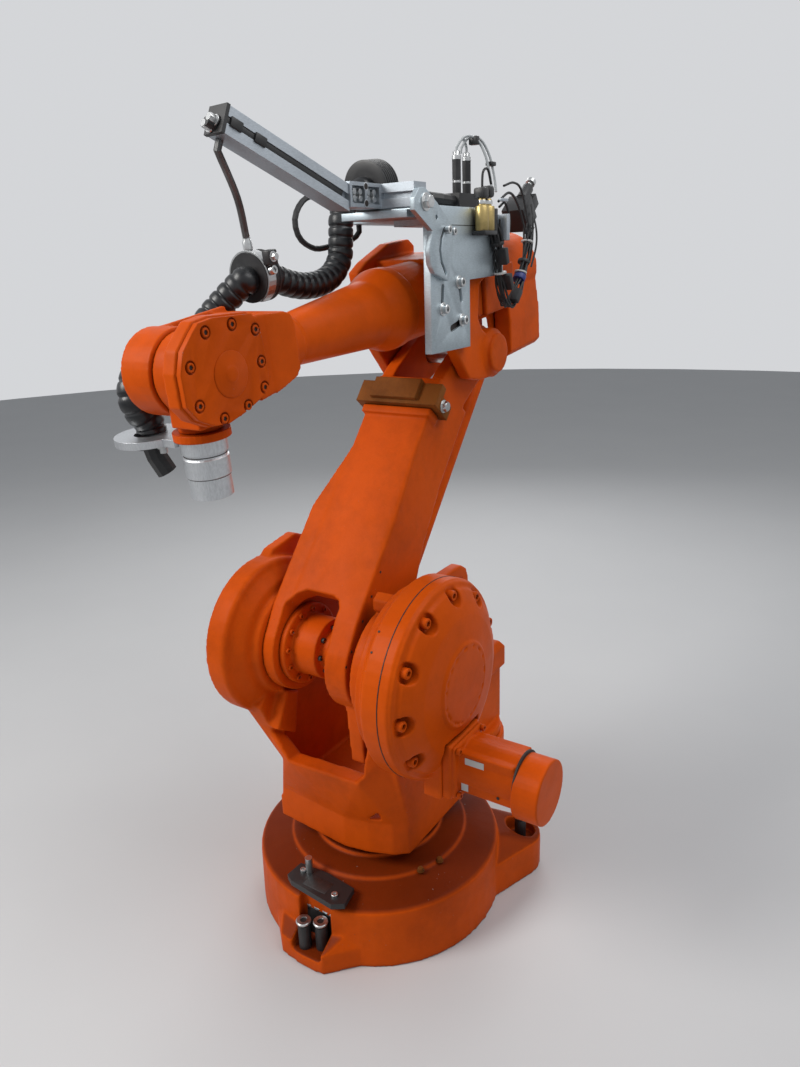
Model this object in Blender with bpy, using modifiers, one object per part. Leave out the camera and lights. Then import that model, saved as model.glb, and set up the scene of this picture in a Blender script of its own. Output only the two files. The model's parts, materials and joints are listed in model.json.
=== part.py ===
"""Six-axis industrial robot arm with a hose package and a tool adapter.

Blender 4.5, metres, +Z up. The origin is on axis 1 at floor level, +X is the way the arm reaches,
+Y is the side of the lower gear motor. The arm is modelled in the pose it stands in: each moving
body has an empty on its joint's axis, and its pieces are placed from that empty.
"""
import math

import bmesh
import bpy
import numpy as np
from mathutils import Matrix, Vector

# Driving sizes of the machine
GAP = 0.0003
RUNNING_GAP = 0.0005
AXIS2_X = 0.100
AXIS2_Z = 0.615
LOWER_ARM = 0.705
ELBOW_RISE = 0.135
FOREARM = 0.755
WRIST_TO_FLANGE = 0.085

# Pose the machine stands in, degrees
LEAN_BACK = 40.4
FOREARM_DIP = 6.4
WRIST_BEND = 88.7

# Base casting
BASE_R = 0.266
BASE_WALL_H = 0.127
BASE_SHOULDER_R = 0.192
BASE_SHOULDER_H = 0.156
NECK_RING_R = 0.142
NECK_RING_H = 0.172
NECK_R = 0.120
NECK_TOP = 0.196
FOOT_REACH = 0.372
FOOT_R = 0.060
FOOT_H = 0.080
FOOT_ANGLES = (129.0, -129.0)
FRONT_LIP_X = 0.303
FRONT_LIP_H = 0.045
NOTCH_X = BASE_SHOULDER_R + 0.054
NOTCH_LOW_Y = -0.018
NOTCH_HIGH_Y = 0.056
NOTCH_FLOOR = 0.028
POCKET_R = 0.034
POCKET_FLOOR = 0.058
SLEEVE_R = 0.0130
SLEEVE_H = 0.056
SLEEVE_HEAD_H = 0.008
MARK_PLATE_Z = 0.147
MARK_PLATE_T = 0.012
MARK_PIN_R = 0.0075
MARK_PIN_H = 0.034

# Turning frame
SKIRT_Z = NECK_TOP + RUNNING_GAP
BAND_Z = 0.272
FRAME_WALL_TOP = 0.470
FRAME_REAR = -0.205
CHEEK_NEAR_IN = 0.108
CHEEK_NEAR_OUT = 0.152
CHEEK_NEAR_R = 0.119
CHEEK_FAR_IN = 0.132
CHEEK_FAR_OUT = 0.206
CHEEK_FAR_R = 0.166
DRUM_STEP_R = 0.116
CHEEK_BOSS_R = 0.080
POCKET_REAR = -0.130
POCKET_FRONT = 0.150
POCKET_FLOOR_Z = 0.282
LUG_T = 0.026
BUMPER_R = 0.021
BUMPER_L = 0.036
REAR_GEAR_X = -0.185
REAR_GEAR_Y = 0.118
REAR_GEAR_R = 0.092
REAR_GEAR_TOP = 0.325

# Gear units and motors
GEAR_RING_R = 0.188
GEAR_BACK_R = 0.165
GEAR_RING_W = 0.084
GEAR_SEAM_R = 0.184
GEAR_DOME_W = 0.046
GEAR_CAP_R = 0.079
BOLT_CIRCLE_R = 0.163
BOLT_POCKET_R = 0.019
BOLT_COUNT = 11
BOLT_FIRST = 95.0
FAR_UNIT_R = 0.128
FAR_UNIT_W = 0.030
MOTOR_DROP = 0.157
MOTOR_R = 0.047
MOTOR_CAP_R = 0.060
MOTOR_CAP_DROP = 0.013
MOTOR_HALF = 0.041
MOTOR_FLANGE_HALF = 0.056
REAR_MOTOR_R = 0.058
REAR_MOTOR_CAP_R = 0.066
MOTOR_FLANGE_T = 0.016
MOTOR_SEAT_Y = 0.262
MOTOR_LENGTH = 0.188
MOTOR_CAP_L = 0.050
MOTOR1_HALF = 0.062
MOTOR1_H = 0.205
MOTOR3_X = -0.085
MOTOR3_Z = 0.640
MOTOR3_L = 0.120

# Lower arm, in its own upright frame
ARM_HALF_W = 0.0765
ARM_FRONT = 0.107
ARM_BACK = 0.026
ARM_BOX_FROM = 0.052
ARCH_TOP = 0.082
ARM_BOX_TO = 0.570
EAR_R = 0.100
EAR_NEAR_IN = 0.035
EAR_NEAR_OUT = 0.086
EAR_FAR_IN = 0.090
EAR_FAR_OUT = 0.118
LIMIT_BAR_Y = (0.060, 0.092)
FORK_R = 0.058
FORK_IN = 0.047
CHANNEL_FRONT = 0.070
CHANNEL_TOP = 0.250
ELBOW_SHAFT_R = 0.026
BRACKET_FROM = 0.496
BRACKET_TO = 0.545
BRACKET_T = 0.018
BRACKET_HALF = 0.096
BRACKET_SIDE = 0.040
RIM_FROM = 0.478
RIM_T = 0.008

# Linkage behind the lower arm
LEVER = 0.180
LEVER_DROP = 10.0
LEVER_NEAR = 0.034
LEVER_FAR = 0.040
LEVER_HUB_R = 0.062
LEVER_HUB_END = -0.018
LEVER_NECK_R = 0.044
LEVER_RING_R = 0.084
LEVER_RING_W = 0.014
LEVER_WEB_H = 0.060
LEVER_TIP_R = 0.028
ROD_R = 0.018
ROD_EYE_R = 0.026
ROD_EYE_W = 0.040
ROD_SLOT = 0.006
ROD_PIN_R = 0.010

# Upper arm housing, in the forearm's frame
LUG_IN = ARM_HALF_W + 0.0055
LUG_OUT = LUG_IN + 0.026
LUG_R = 0.052
ELBOW_STEP_R = 0.047
ELBOW_STEP_W = 0.004
ELBOW_CAP_R = 0.041
ELBOW_CAP_W = 0.010
CORE_FRONT = 0.130
HOUSING_REAR = -0.010
BEAM_REAR = -0.150
BEAM_BOTTOM = 0.0735
FLANGE_REAR = -0.208
FLANGE_FRONT = -0.045
FLANGE_BOTTOM = 0.052
HOUSING_BOTTOM = 0.078
CORE_TOP = 0.212
BARREL_R = 0.074
ROD_BRACKET_W = 0.010
COVER_REAR = -0.312
COVER_LOBE_R = 0.080
COVER_LOBE_Z = 0.138
MOTOR4_LOW = (0.012, 0.076)
MOTOR4_HIGH = (0.090, 0.168)

# Forearm, measured along its axis from above the elbow
FLANGE_S = 0.236
FLANGE_T = 0.026
TUBE_FLANGE_R = 0.078
TUBE_R_REAR = 0.062
TUBE_R_FRONT = 0.043
CONE_L = 0.070
COLLAR_S = 0.545
COLLAR_R = 0.048
BLOCK_S = 0.566
BLOCK_END_S = 0.585
BLOCK_R = 0.050

# Wrist, measured from the wrist centre
CHEEK_MARGIN = 1.035
NEAR_CHEEK_IN = 0.050
NEAR_CHEEK_OUT = 0.074
BLOCK_NEAR_Y = 0.066
COVER_T = 0.009
FAR_CHEEK_R = 0.066
FAR_CHEEK_IN = 0.0145
FAR_CHEEK_OUT = 0.075
FAR_RIB_IN = 0.0465
FAR_RIB_OUT = 0.0565
FAR_CHEEK_NECK = 0.042
TILT_R = 0.062
TILT_NEAR = 0.047
TILT_FAR = 0.0125
TILT_SHELL_H = 0.045
TILT_NECK_R = 0.034
TILT_CORE_R = 0.030
NECK_STANDOFF = 0.005
BRIDGE_FRONT = -0.105

# Tool
TOOL_FLANGE_R = 0.044
TOOL_FLANGE_T = 0.012
ADAPTER_R = 0.036
ADAPTER_LENGTH = 0.092
RING_R = 0.055
RING_T = 0.012
RING_ARM_H = 0.020
RING_OFFSET_Y = -0.113
RING_OFFSET_N = 0.006
RING_S = 0.105
PLUG_R = 0.017
PLUG_COLLAR_R = 0.030
PLUG_COLLAR_L = 0.008

# Hose and what carries it, in the frame of the upper arm
HOSE_R = 0.024
HOSE_BORE_R = HOSE_R + GAP
HOSE_LEAD = 0.014
CLAMP_R = 0.050
CLAMP_W = 0.046
SADDLE_R = 0.041
SADDLE_W = 0.038
STRAP_T = 0.003
STRAP_W = 0.018
HANGER_R = 0.006
CABLE_R = 0.0055
BUNDLE_R = 0.009
SUPPLY_R = 0.011

# Plates and profiles on the housing, level with the floor, measured from the elbow
DRESS_T = 0.0145
CRESCENT_T = 0.010
PROFILE = 0.040
PROFILE_GROOVE = 0.008
PROFILE_LIP_W = 0.010
CROSS_X = 0.290
CROSS_END_Y = 0.055
BLOCK_L = 0.092
LONG_END = 0.405
LONG_Y = 0.034
LONG_DROP = 0.011
LONG_LENGTH = 0.274
LONG_SLOPE = 22.0
LONG_SWING = 8.0
BLOCK_W = 0.045
CAP_T = 0.006
TRAY_Z = 0.255
TRAY_T = 0.032
COIL_X = (0.086, 0.111)
SHELF_Z = 0.266
SHELF_T = 0.013

COLLECTION = "industrial_robot_arm"
CUTTERS = "cutters"

for old in list(bpy.data.objects):
    bpy.data.objects.remove(old, do_unlink=True)


def collection(name):
    found = bpy.data.collections.get(name) or bpy.data.collections.new(name)
    if name not in bpy.context.scene.collection.children:
        bpy.context.scene.collection.children.link(found)
    return found


PARTS = collection(COLLECTION)
TOOLS = collection(CUTTERS)


def material(name, colour, roughness, metallic=0.0):
    made = bpy.data.materials.get(name)
    if made:
        return made
    made = bpy.data.materials.new(name)
    made.use_nodes = True
    shader = made.node_tree.nodes["Principled BSDF"]
    shader.inputs["Base Color"].default_value = (*colour, 1.0)
    shader.inputs["Roughness"].default_value = roughness
    shader.inputs["Metallic"].default_value = metallic
    return made


PAINT = material("orange_paint", (0.80, 0.16, 0.02), 0.45)
BRACKET_PAINT = material("bracket_paint", (0.38, 0.13, 0.02), 0.55)
STEEL = material("bright_steel", (0.62, 0.62, 0.60), 0.30, 1.0)
ALUMINIUM = material("aluminium", (0.72, 0.73, 0.74), 0.35, 1.0)
BRASS = material("brass", (0.55, 0.40, 0.14), 0.35, 1.0)
BLACK = material("black_plastic", (0.02, 0.02, 0.02), 0.55)
RUBBER = material("black_rubber", (0.015, 0.015, 0.015), 0.60)


def link(mesh, name, target):
    made = bpy.data.objects.new(name, mesh)
    target.objects.link(made)
    return made


def mesh_from(builder):
    mesh = bpy.data.meshes.new("shape")
    shape = bmesh.new()
    builder(shape)
    shape.to_mesh(mesh)
    shape.free()
    return mesh


def smooth(mesh, degrees=35):
    mesh.shade_smooth()
    mesh.set_sharp_from_angle(angle=math.radians(degrees))


def box(low, high):
    """A box between two corners, as a mesh."""
    low, high = Vector(low), Vector(high)

    def build(shape):
        bmesh.ops.create_cube(shape, size=1.0)
        bmesh.ops.scale(shape, vec=high - low, verts=shape.verts)
        bmesh.ops.translate(shape, vec=(low + high) / 2, verts=shape.verts)
    return mesh_from(build)


TURN = {"x": Matrix.Rotation(math.radians(90), 4, "Y"), "z": Matrix.Identity(4),
        "y": Matrix.Rotation(math.radians(-90), 4, "X")}


def rod(start, length, radius, axis="z", sides=32, end_radius=None):
    """A cylinder or cone from start, along +x, +y or +z."""
    end = radius if end_radius is None else end_radius

    def build(shape):
        bmesh.ops.create_cone(shape, cap_ends=True, segments=sides, radius1=radius, radius2=end,
                              depth=length, matrix=Matrix.Translation((0, 0, length / 2)))
        bmesh.ops.transform(shape, matrix=TURN[axis], verts=shape.verts)
        bmesh.ops.translate(shape, vec=start, verts=shape.verts)
    mesh = mesh_from(build)
    smooth(mesh)
    return mesh


def turned(profile, axis="z", centre=(0, 0, 0), steps=40):
    """A solid of revolution from (radius, height) points listed from the top down."""
    mesh = bpy.data.meshes.new("profile")
    points = [(radius, 0.0, height) for radius, height in profile]
    closed = profile[0][0] > 0 or profile[-1][0] > 0
    edges = [(i, i + 1) for i in range(len(points) - 1)]
    if closed:
        edges.append((len(points) - 1, 0))
    mesh.from_pydata(points, edges, [])
    holder = link(mesh, "profile", TOOLS)
    screw = holder.modifiers.new("turn", "SCREW")
    screw.axis = "Z"
    screw.steps = steps
    screw.render_steps = steps
    screw.use_merge_vertices = True
    screw.merge_threshold = 0.00001
    evaluated = holder.evaluated_get(bpy.context.evaluated_depsgraph_get())
    made = bpy.data.meshes.new_from_object(evaluated)
    bpy.data.objects.remove(holder, do_unlink=True)
    made.transform(Matrix.Translation(centre) @ TURN[axis])
    shape = bmesh.new()
    shape.from_mesh(made)
    bmesh.ops.recalc_face_normals(shape, faces=shape.faces)
    shape.to_mesh(made)
    shape.free()
    smooth(made)
    return made


def plate(outline, low, high, across="y"):
    """A flat outline given thickness from low to high along its normal.

    across y: outline points are (x, z). across x: (y, z). across z: (x, y).
    """
    curve = bpy.data.curves.new("outline", "CURVE")
    curve.dimensions = "2D"
    curve.fill_mode = "BOTH"
    curve.extrude = (high - low) / 2
    spline = curve.splines.new("POLY")
    spline.points.add(len(outline) - 1)
    for point, (u, v) in zip(spline.points, outline):
        point.co = (u, v, 0, 1)
    spline.use_cyclic_u = True
    holder = link(curve, "outline", TOOLS)
    evaluated = holder.evaluated_get(bpy.context.evaluated_depsgraph_get())
    made = bpy.data.meshes.new_from_object(evaluated)
    bpy.data.objects.remove(holder, do_unlink=True)
    middle = (low + high) / 2
    frames = {
        "y": Matrix(((1, 0, 0, 0), (0, 0, 1, middle), (0, 1, 0, 0), (0, 0, 0, 1))),
        "x": Matrix(((0, 0, 1, middle), (1, 0, 0, 0), (0, 1, 0, 0), (0, 0, 0, 1))),
        "z": Matrix(((1, 0, 0, 0), (0, 1, 0, 0), (0, 0, 1, middle), (0, 0, 0, 1))),
    }
    made.transform(frames[across])
    shape = bmesh.new()
    shape.from_mesh(made)
    bmesh.ops.remove_doubles(shape, verts=shape.verts, dist=0.00001)
    bmesh.ops.dissolve_limit(shape, angle_limit=math.radians(1), verts=shape.verts,
                             edges=shape.edges)
    bmesh.ops.recalc_face_normals(shape, faces=shape.faces)
    shape.to_mesh(made)
    shape.free()
    return made


def arc(centre, radius, start, end, steps=12):
    """Points on a circle, in degrees, counter-clockwise when end is larger."""
    return [(centre[0] + radius * math.cos(math.radians(a)),
             centre[1] + radius * math.sin(math.radians(a)))
            for a in np.linspace(start, end, steps)]


def smooth_route(points, spacing):
    """Points at even steps along a smooth curve through the route's own points."""
    points = [Vector(p) for p in points]
    padded = [2 * points[0] - points[1], *points, 2 * points[-1] - points[-2]]
    dense = []
    for a, b, c, d in zip(padded, padded[1:], padded[2:], padded[3:]):
        for t in np.linspace(0, 1, 24, endpoint=False):
            dense.append(0.5 * ((2 * b) + (c - a) * t + (2 * a - 5 * b + 4 * c - d) * t ** 2
                                + (3 * b - a - 3 * c + d) * t ** 3))
    dense.append(points[-1])
    lengths = [0.0]
    for a, b in zip(dense, dense[1:]):
        lengths.append(lengths[-1] + (b - a).length)
    count = max(3, int(round(lengths[-1] / spacing)) + 1)
    wanted = np.linspace(0, lengths[-1], count)
    return [Vector([np.interp(s, lengths, [p[i] for p in dense]) for i in range(3)])
            for s in wanted]


def tube(points, radius, resolution=2):
    """A round tube along a list of points, as a closed mesh."""
    curve = bpy.data.curves.new("route", "CURVE")
    curve.dimensions = "3D"
    curve.bevel_depth = radius
    curve.bevel_resolution = resolution
    curve.use_fill_caps = True
    spline = curve.splines.new("POLY")
    spline.points.add(len(points) - 1)
    for point, place in zip(spline.points, points):
        point.co = (*place, 1)
    holder = link(curve, "route", TOOLS)
    evaluated = holder.evaluated_get(bpy.context.evaluated_depsgraph_get())
    made = bpy.data.meshes.new_from_object(evaluated)
    bpy.data.objects.remove(holder, do_unlink=True)
    shape = bmesh.new()
    shape.from_mesh(made)
    bmesh.ops.remove_doubles(shape, verts=shape.verts, dist=0.00001)
    bmesh.ops.recalc_face_normals(shape, faces=shape.faces)
    shape.to_mesh(made)
    shape.free()
    smooth(made, 60)
    return made


def axis_empty(name, location, parent=None, turn=(0, 0, 0)):
    made = bpy.data.objects.new(name, None)
    TOOLS.objects.link(made)
    made.location = location
    made.rotation_euler = turn
    made.parent = parent
    return made


def piece(name, mesh, finish, parent=None, add=(), cut=()):
    """One named solid: a mesh with others joined to it and cut from it."""
    made = link(mesh, name, PARTS)
    made.parent = parent
    made.data.materials.append(finish)
    for kind, meshes in (("UNION", add), ("DIFFERENCE", cut)):
        for number, other in enumerate(meshes):
            operand = link(other, f"{name}_{kind.lower()}_{number}", TOOLS)
            operand.parent = parent
            operand.hide_render = True
            operand.display_type = "WIRE"
            step = made.modifiers.new(f"{kind.lower()}_{number}", "BOOLEAN")
            step.operation = kind
            step.solver = "EXACT"
            step.object = operand
    return made


def carved(mesh, add=(), cut=()):
    """The mesh left after other meshes are joined to it and cut from it."""
    shape = piece("carving", mesh, PAINT, None, add, cut)
    made = bpy.data.meshes.new_from_object(shape.evaluated_get(bpy.context.evaluated_depsgraph_get()))
    made.materials.clear()
    for step in list(shape.modifiers):
        bpy.data.objects.remove(step.object, do_unlink=True)
    bpy.data.objects.remove(shape, do_unlink=True)
    return made


def hull(points):
    """The convex solid around a set of points."""
    def build(shape):
        verts = [shape.verts.new(p) for p in points]
        made = bmesh.ops.convex_hull(shape, input=verts)
        spare = {v for v in made["geom_interior"] + made["geom_unused"] if isinstance(v, bmesh.types.BMVert)}
        bmesh.ops.delete(shape, geom=list(spare), context="VERTS")
        bmesh.ops.dissolve_limit(shape, angle_limit=math.radians(1), verts=shape.verts, edges=shape.edges)
    return mesh_from(build)


def moved(mesh, matrix):
    mesh.transform(matrix)
    return mesh


# Joint axes, at the pose the machine stands in
frame_axis = axis_empty("frame_axis", (0, 0, 0))
lower_axis = axis_empty("lower_arm_axis", (AXIS2_X, 0, AXIS2_Z), turn=(0, -math.radians(LEAN_BACK), 0))
lean, dip = math.radians(LEAN_BACK), math.radians(FOREARM_DIP)
elbow = Vector((AXIS2_X - LOWER_ARM * math.sin(lean), 0, AXIS2_Z + LOWER_ARM * math.cos(lean)))
upper_axis = axis_empty("upper_arm_axis", elbow, turn=(0, dip, 0))
lever_axis = axis_empty("lever_axis", (AXIS2_X, 0, AXIS2_Z), turn=(0, dip, 0))
lever_arm = axis_empty("lever_arm", (0, 0, 0), lever_axis, (0, -math.radians(LEVER_DROP), 0))
rod_foot = axis_empty("rod_foot", (-LEVER, 0, 0), lever_arm)
rod_line = axis_empty("rod_line", (0, 0, 0), rod_foot,
                      (0, math.radians(LEVER_DROP) - dip - lean, 0))
dress_axis = axis_empty("dress_axis", (0, 0, 0), upper_axis, turn=(0, -dip, 0))
forearm_axis = axis_empty("forearm_axis", (0, 0, ELBOW_RISE), upper_axis)
wrist_axis = axis_empty("wrist_axis", (FOREARM, 0, 0), forearm_axis)
tilt_axis = axis_empty("tilt_axis", (0, 0, 0), wrist_axis, (0, math.radians(WRIST_BEND), 0))


def build_base():
    body = turned([
        (0, NECK_TOP), (NECK_R, NECK_TOP), (NECK_R, NECK_RING_H), (NECK_RING_R, NECK_RING_H),
        (NECK_RING_R, NECK_RING_H - 0.008), (BASE_SHOULDER_R, BASE_SHOULDER_H),
        (BASE_SHOULDER_R + 0.002, BASE_SHOULDER_H - 0.006), (BASE_R - 0.007, BASE_WALL_H + 0.006),
        (BASE_R, BASE_WALL_H), (BASE_R + 0.003, 0.0), (0, 0.0)], steps=56)
    front = hull([(x, y, z) for x, y in ((0.220, -0.130), (FRONT_LIP_X - 0.007, -0.047), (FRONT_LIP_X, 0.010),
                                         (FRONT_LIP_X - 0.003, 0.060), (0.220, 0.135))
                  for z in (0.0, FRONT_LIP_H)] + [(0.225, -0.090, 0.088), (0.225, 0.100, 0.088)])
    seat = box((BASE_SHOULDER_R + 0.020, -0.030, 0.100), (NOTCH_X + 0.004, 0.062, MARK_PLATE_Z))
    feet, pockets = [front, seat], []
    for angle in FOOT_ANGLES:
        turn = Matrix.Rotation(math.radians(angle), 4, "Z")
        tip = FOOT_REACH - FOOT_R
        lug = hull([(x, y, z) for x, y in arc((tip, 0), FOOT_R, -75, 75, 9) + [(0.18, -0.15), (0.18, 0.15)]
                    for z in (0.0, FOOT_H)] + [(0.235, -0.05, BASE_WALL_H - 0.004),
                                               (0.235, 0.05, BASE_WALL_H - 0.004)])
        feet.append(moved(lug, turn))
        pockets.append(moved(rod((FOOT_REACH - POCKET_R - 0.012, 0, POCKET_FLOOR), 0.2, POCKET_R, sides=24),
                             turn))
    notch = box((NOTCH_X, NOTCH_LOW_Y, NOTCH_FLOOR), (0.40, NOTCH_HIGH_Y, 0.2))
    piece("base_casting", body, PAINT, add=feet, cut=[notch, *pockets])


def build_base_fittings():
    def sleeve(name, x, y, floor):
        bottom = (x, y, floor + GAP)
        head = rod((x, y, floor + GAP + SLEEVE_H), SLEEVE_HEAD_H, SLEEVE_R * 0.8, sides=20)
        piece(name, rod(bottom, SLEEVE_H, SLEEVE_R, sides=20), BLACK, add=[head])
    sleeve("foot_sleeve_front_outer", NOTCH_X + 0.033, 0.002, NOTCH_FLOOR)
    sleeve("foot_sleeve_front_inner", NOTCH_X + 0.018, 0.034, NOTCH_FLOOR)
    reach = FOOT_REACH - POCKET_R - 0.012
    for name, angle in zip(("foot_sleeve_rear_near", "foot_sleeve_rear_far"), FOOT_ANGLES):
        turn = math.radians(angle)
        sleeve(name, reach * math.cos(turn), reach * math.sin(turn), POCKET_FLOOR)
    outline = [(BASE_SHOULDER_R + x, y) for x, y in (
        (0.060, -0.056), (0.070, -0.038), (0.081, 0.072), (0.066, 0.094), (0.022, 0.085), (0.014, 0.012),
        (0.019, -0.054))]
    low = MARK_PLATE_Z + GAP
    piece("mark_plate", plate(outline, low, low + MARK_PLATE_T, across="z"), BLACK)
    piece("mark_pin", rod((BASE_SHOULDER_R + 0.030, -0.022, low + MARK_PLATE_T + GAP), MARK_PIN_H,
                          MARK_PIN_R, sides=20), STEEL)


def build_frame():
    """The turning frame: a skirt, a wall that opens in a V at the front, and a cheek on each side."""
    skirt = [(-0.150, -0.158), (0.144, -0.158), (0.154, -0.050), (0.160, 0.027), (0.149, 0.081),
             (0.131, 0.128), (0.110, 0.154), (-0.150, 0.154)]
    band = plate(skirt, SKIRT_Z, BAND_Z + 0.001, across="z")
    wall = hull([(x, y, BAND_Z) for x, y in skirt] + [
        (0.164, -CHEEK_FAR_OUT, FRAME_WALL_TOP), (0.170, 0.118, FRAME_WALL_TOP),
        (0.150, CHEEK_NEAR_OUT, FRAME_WALL_TOP), (0.188, -0.083, 0.384), (0.188, 0.090, 0.390),
        (FRAME_REAR, -CHEEK_FAR_OUT, 0.36), (FRAME_REAR, CHEEK_NEAR_OUT, 0.36),
        (FRAME_REAR, -0.150, BAND_Z + 0.01), (FRAME_REAR, 0.150, BAND_Z + 0.01)])
    opening = plate([(-CHEEK_FAR_OUT - 0.01, 0.500), (-0.198, 0.489), (-0.141, 0.437), (-0.083, 0.382),
                     (0.086, 0.390), (0.099, 0.405), (0.104, FRAME_WALL_TOP - 0.005), (0.104, 0.9),
                     (-CHEEK_FAR_OUT - 0.01, 0.9)], POCKET_REAR, 0.4, across="x")
    wall = carved(wall, cut=[opening])
    centre = (AXIS2_X, AXIS2_Z)
    near = plate([(FRAME_REAR, 0.30), (0.118, 0.30), (0.160, FRAME_WALL_TOP - 0.01),
                  *arc(centre, CHEEK_NEAR_R, -50, 160, 24), (FRAME_REAR, 0.42)],
                 CHEEK_NEAR_IN, CHEEK_NEAR_OUT + 0.001)
    wide = CHEEK_FAR_OUT - CHEEK_FAR_IN
    drum = turned([(0, wide), (0.120, wide), (0.130, wide - 0.004), (0.142, wide - 0.014),
                   (0.152, wide - 0.022),
                   (CHEEK_FAR_R - 0.004, wide - 0.026), (CHEEK_FAR_R, wide - 0.032), (CHEEK_FAR_R, 0.0),
                   (0, 0.0)],
                  axis="y", centre=(AXIS2_X, -CHEEK_FAR_OUT, AXIS2_Z), steps=48)
    step = rod((AXIS2_X, -CHEEK_FAR_IN - 0.001, AXIS2_Z), CHEEK_FAR_IN + 0.001 - EAR_FAR_OUT - RUNNING_GAP,
               DRUM_STEP_R, "y", 40, end_radius=DRUM_STEP_R - 0.006)
    boss = rod((AXIS2_X, EAR_NEAR_OUT + RUNNING_GAP, AXIS2_Z),
               CHEEK_NEAR_IN + 0.001 - EAR_NEAR_OUT - RUNNING_GAP,
               CHEEK_BOSS_R, "y", 40)
    web = plate([(FRAME_REAR, 0.30), (0.150, 0.30), (0.180, 0.44), (0.205, 0.50), (-0.03, 0.72),
                 (FRAME_REAR, 0.42)],
                -CHEEK_FAR_OUT, -CHEEK_FAR_IN)
    lug = plate([(0.06, 0.726), (-0.118, 0.739), (-0.150, 0.737), (-0.170, 0.724), (-0.178, 0.702),
                 (-0.176, 0.640), (-0.03, 0.56)], CHEEK_NEAR_IN + 0.004, CHEEK_NEAR_IN + 0.004 + LUG_T)
    hole = plate([(-0.122, 0.716), (-0.152, 0.708), (-0.158, 0.666)], 0.05, 0.2)
    far_lug = plate([(0.11, 0.765), (0.075, 0.792), (0.0, 0.805), (-0.025, 0.795), (-0.045, 0.690)],
                    -CHEEK_FAR_OUT, -CHEEK_FAR_OUT + LUG_T)
    rear_gear = rod((REAR_GEAR_X, REAR_GEAR_Y, SKIRT_Z + 0.045), REAR_GEAR_TOP - SKIRT_Z - 0.045, REAR_GEAR_R)
    pocket = box((POCKET_REAR, -CHEEK_FAR_IN, POCKET_FLOOR_Z), (POCKET_FRONT, CHEEK_NEAR_IN, 0.9))
    rear_pocket = box((-0.4, -CHEEK_FAR_IN, REAR_GEAR_TOP), (POCKET_REAR + 0.01, CHEEK_NEAR_IN, 0.9))
    motor_room = box((-0.4, 0.0, REAR_GEAR_TOP), (REAR_GEAR_X + REAR_GEAR_R, 0.4, 0.56))
    wedge = hull([(x, y, z) for x, z in ((0.186, 0.448), (0.132, 0.412), (0.114, 0.505), (0.150, 0.522))
                  for y in (-CHEEK_FAR_IN - 0.002, -CHEEK_FAR_IN + 0.026)])
    flank = plate([(-0.30, 0.20), (-0.1585, 0.20), (-0.1585, 0.31), (-0.152, 0.385), (-0.2065, 0.480),
                   (-0.30, 0.48)], -0.4, 0.4, across="x")
    rim = [[(0.25, -0.149, 0.553), (0.25, -0.040, 0.440), (0.10, -0.309, 0.435), (0.10, -0.183, 0.305)],
           [(0.25, -0.040, 0.441), (0.25, -0.049, 0.353), (0.10, -0.183, 0.306), (0.10, -0.194, 0.205)]]
    slopes = [hull([*face, *((x, y - 0.4, z) for x, y, z in face)]) for face in rim]
    body = carved(band, add=[wall, near, web, lug, far_lug, rear_gear],
                  cut=[pocket, rear_pocket, motor_room, hole, flank, *slopes])
    bore = rod((AXIS2_X, -0.3, AXIS2_Z), 0.6, LEVER_HUB_R * 0.5, "y", 24)
    bumper = rod((AXIS2_X + 0.022, CHEEK_NEAR_IN + 0.004, AXIS2_Z + CHEEK_NEAR_R + BUMPER_R - 0.003),
                 BUMPER_L,
                 BUMPER_R, "y", 6)
    piece("frame_casting", body, PAINT, frame_axis, add=[drum, step, boss, wedge, bumper], cut=[bore])


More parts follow.
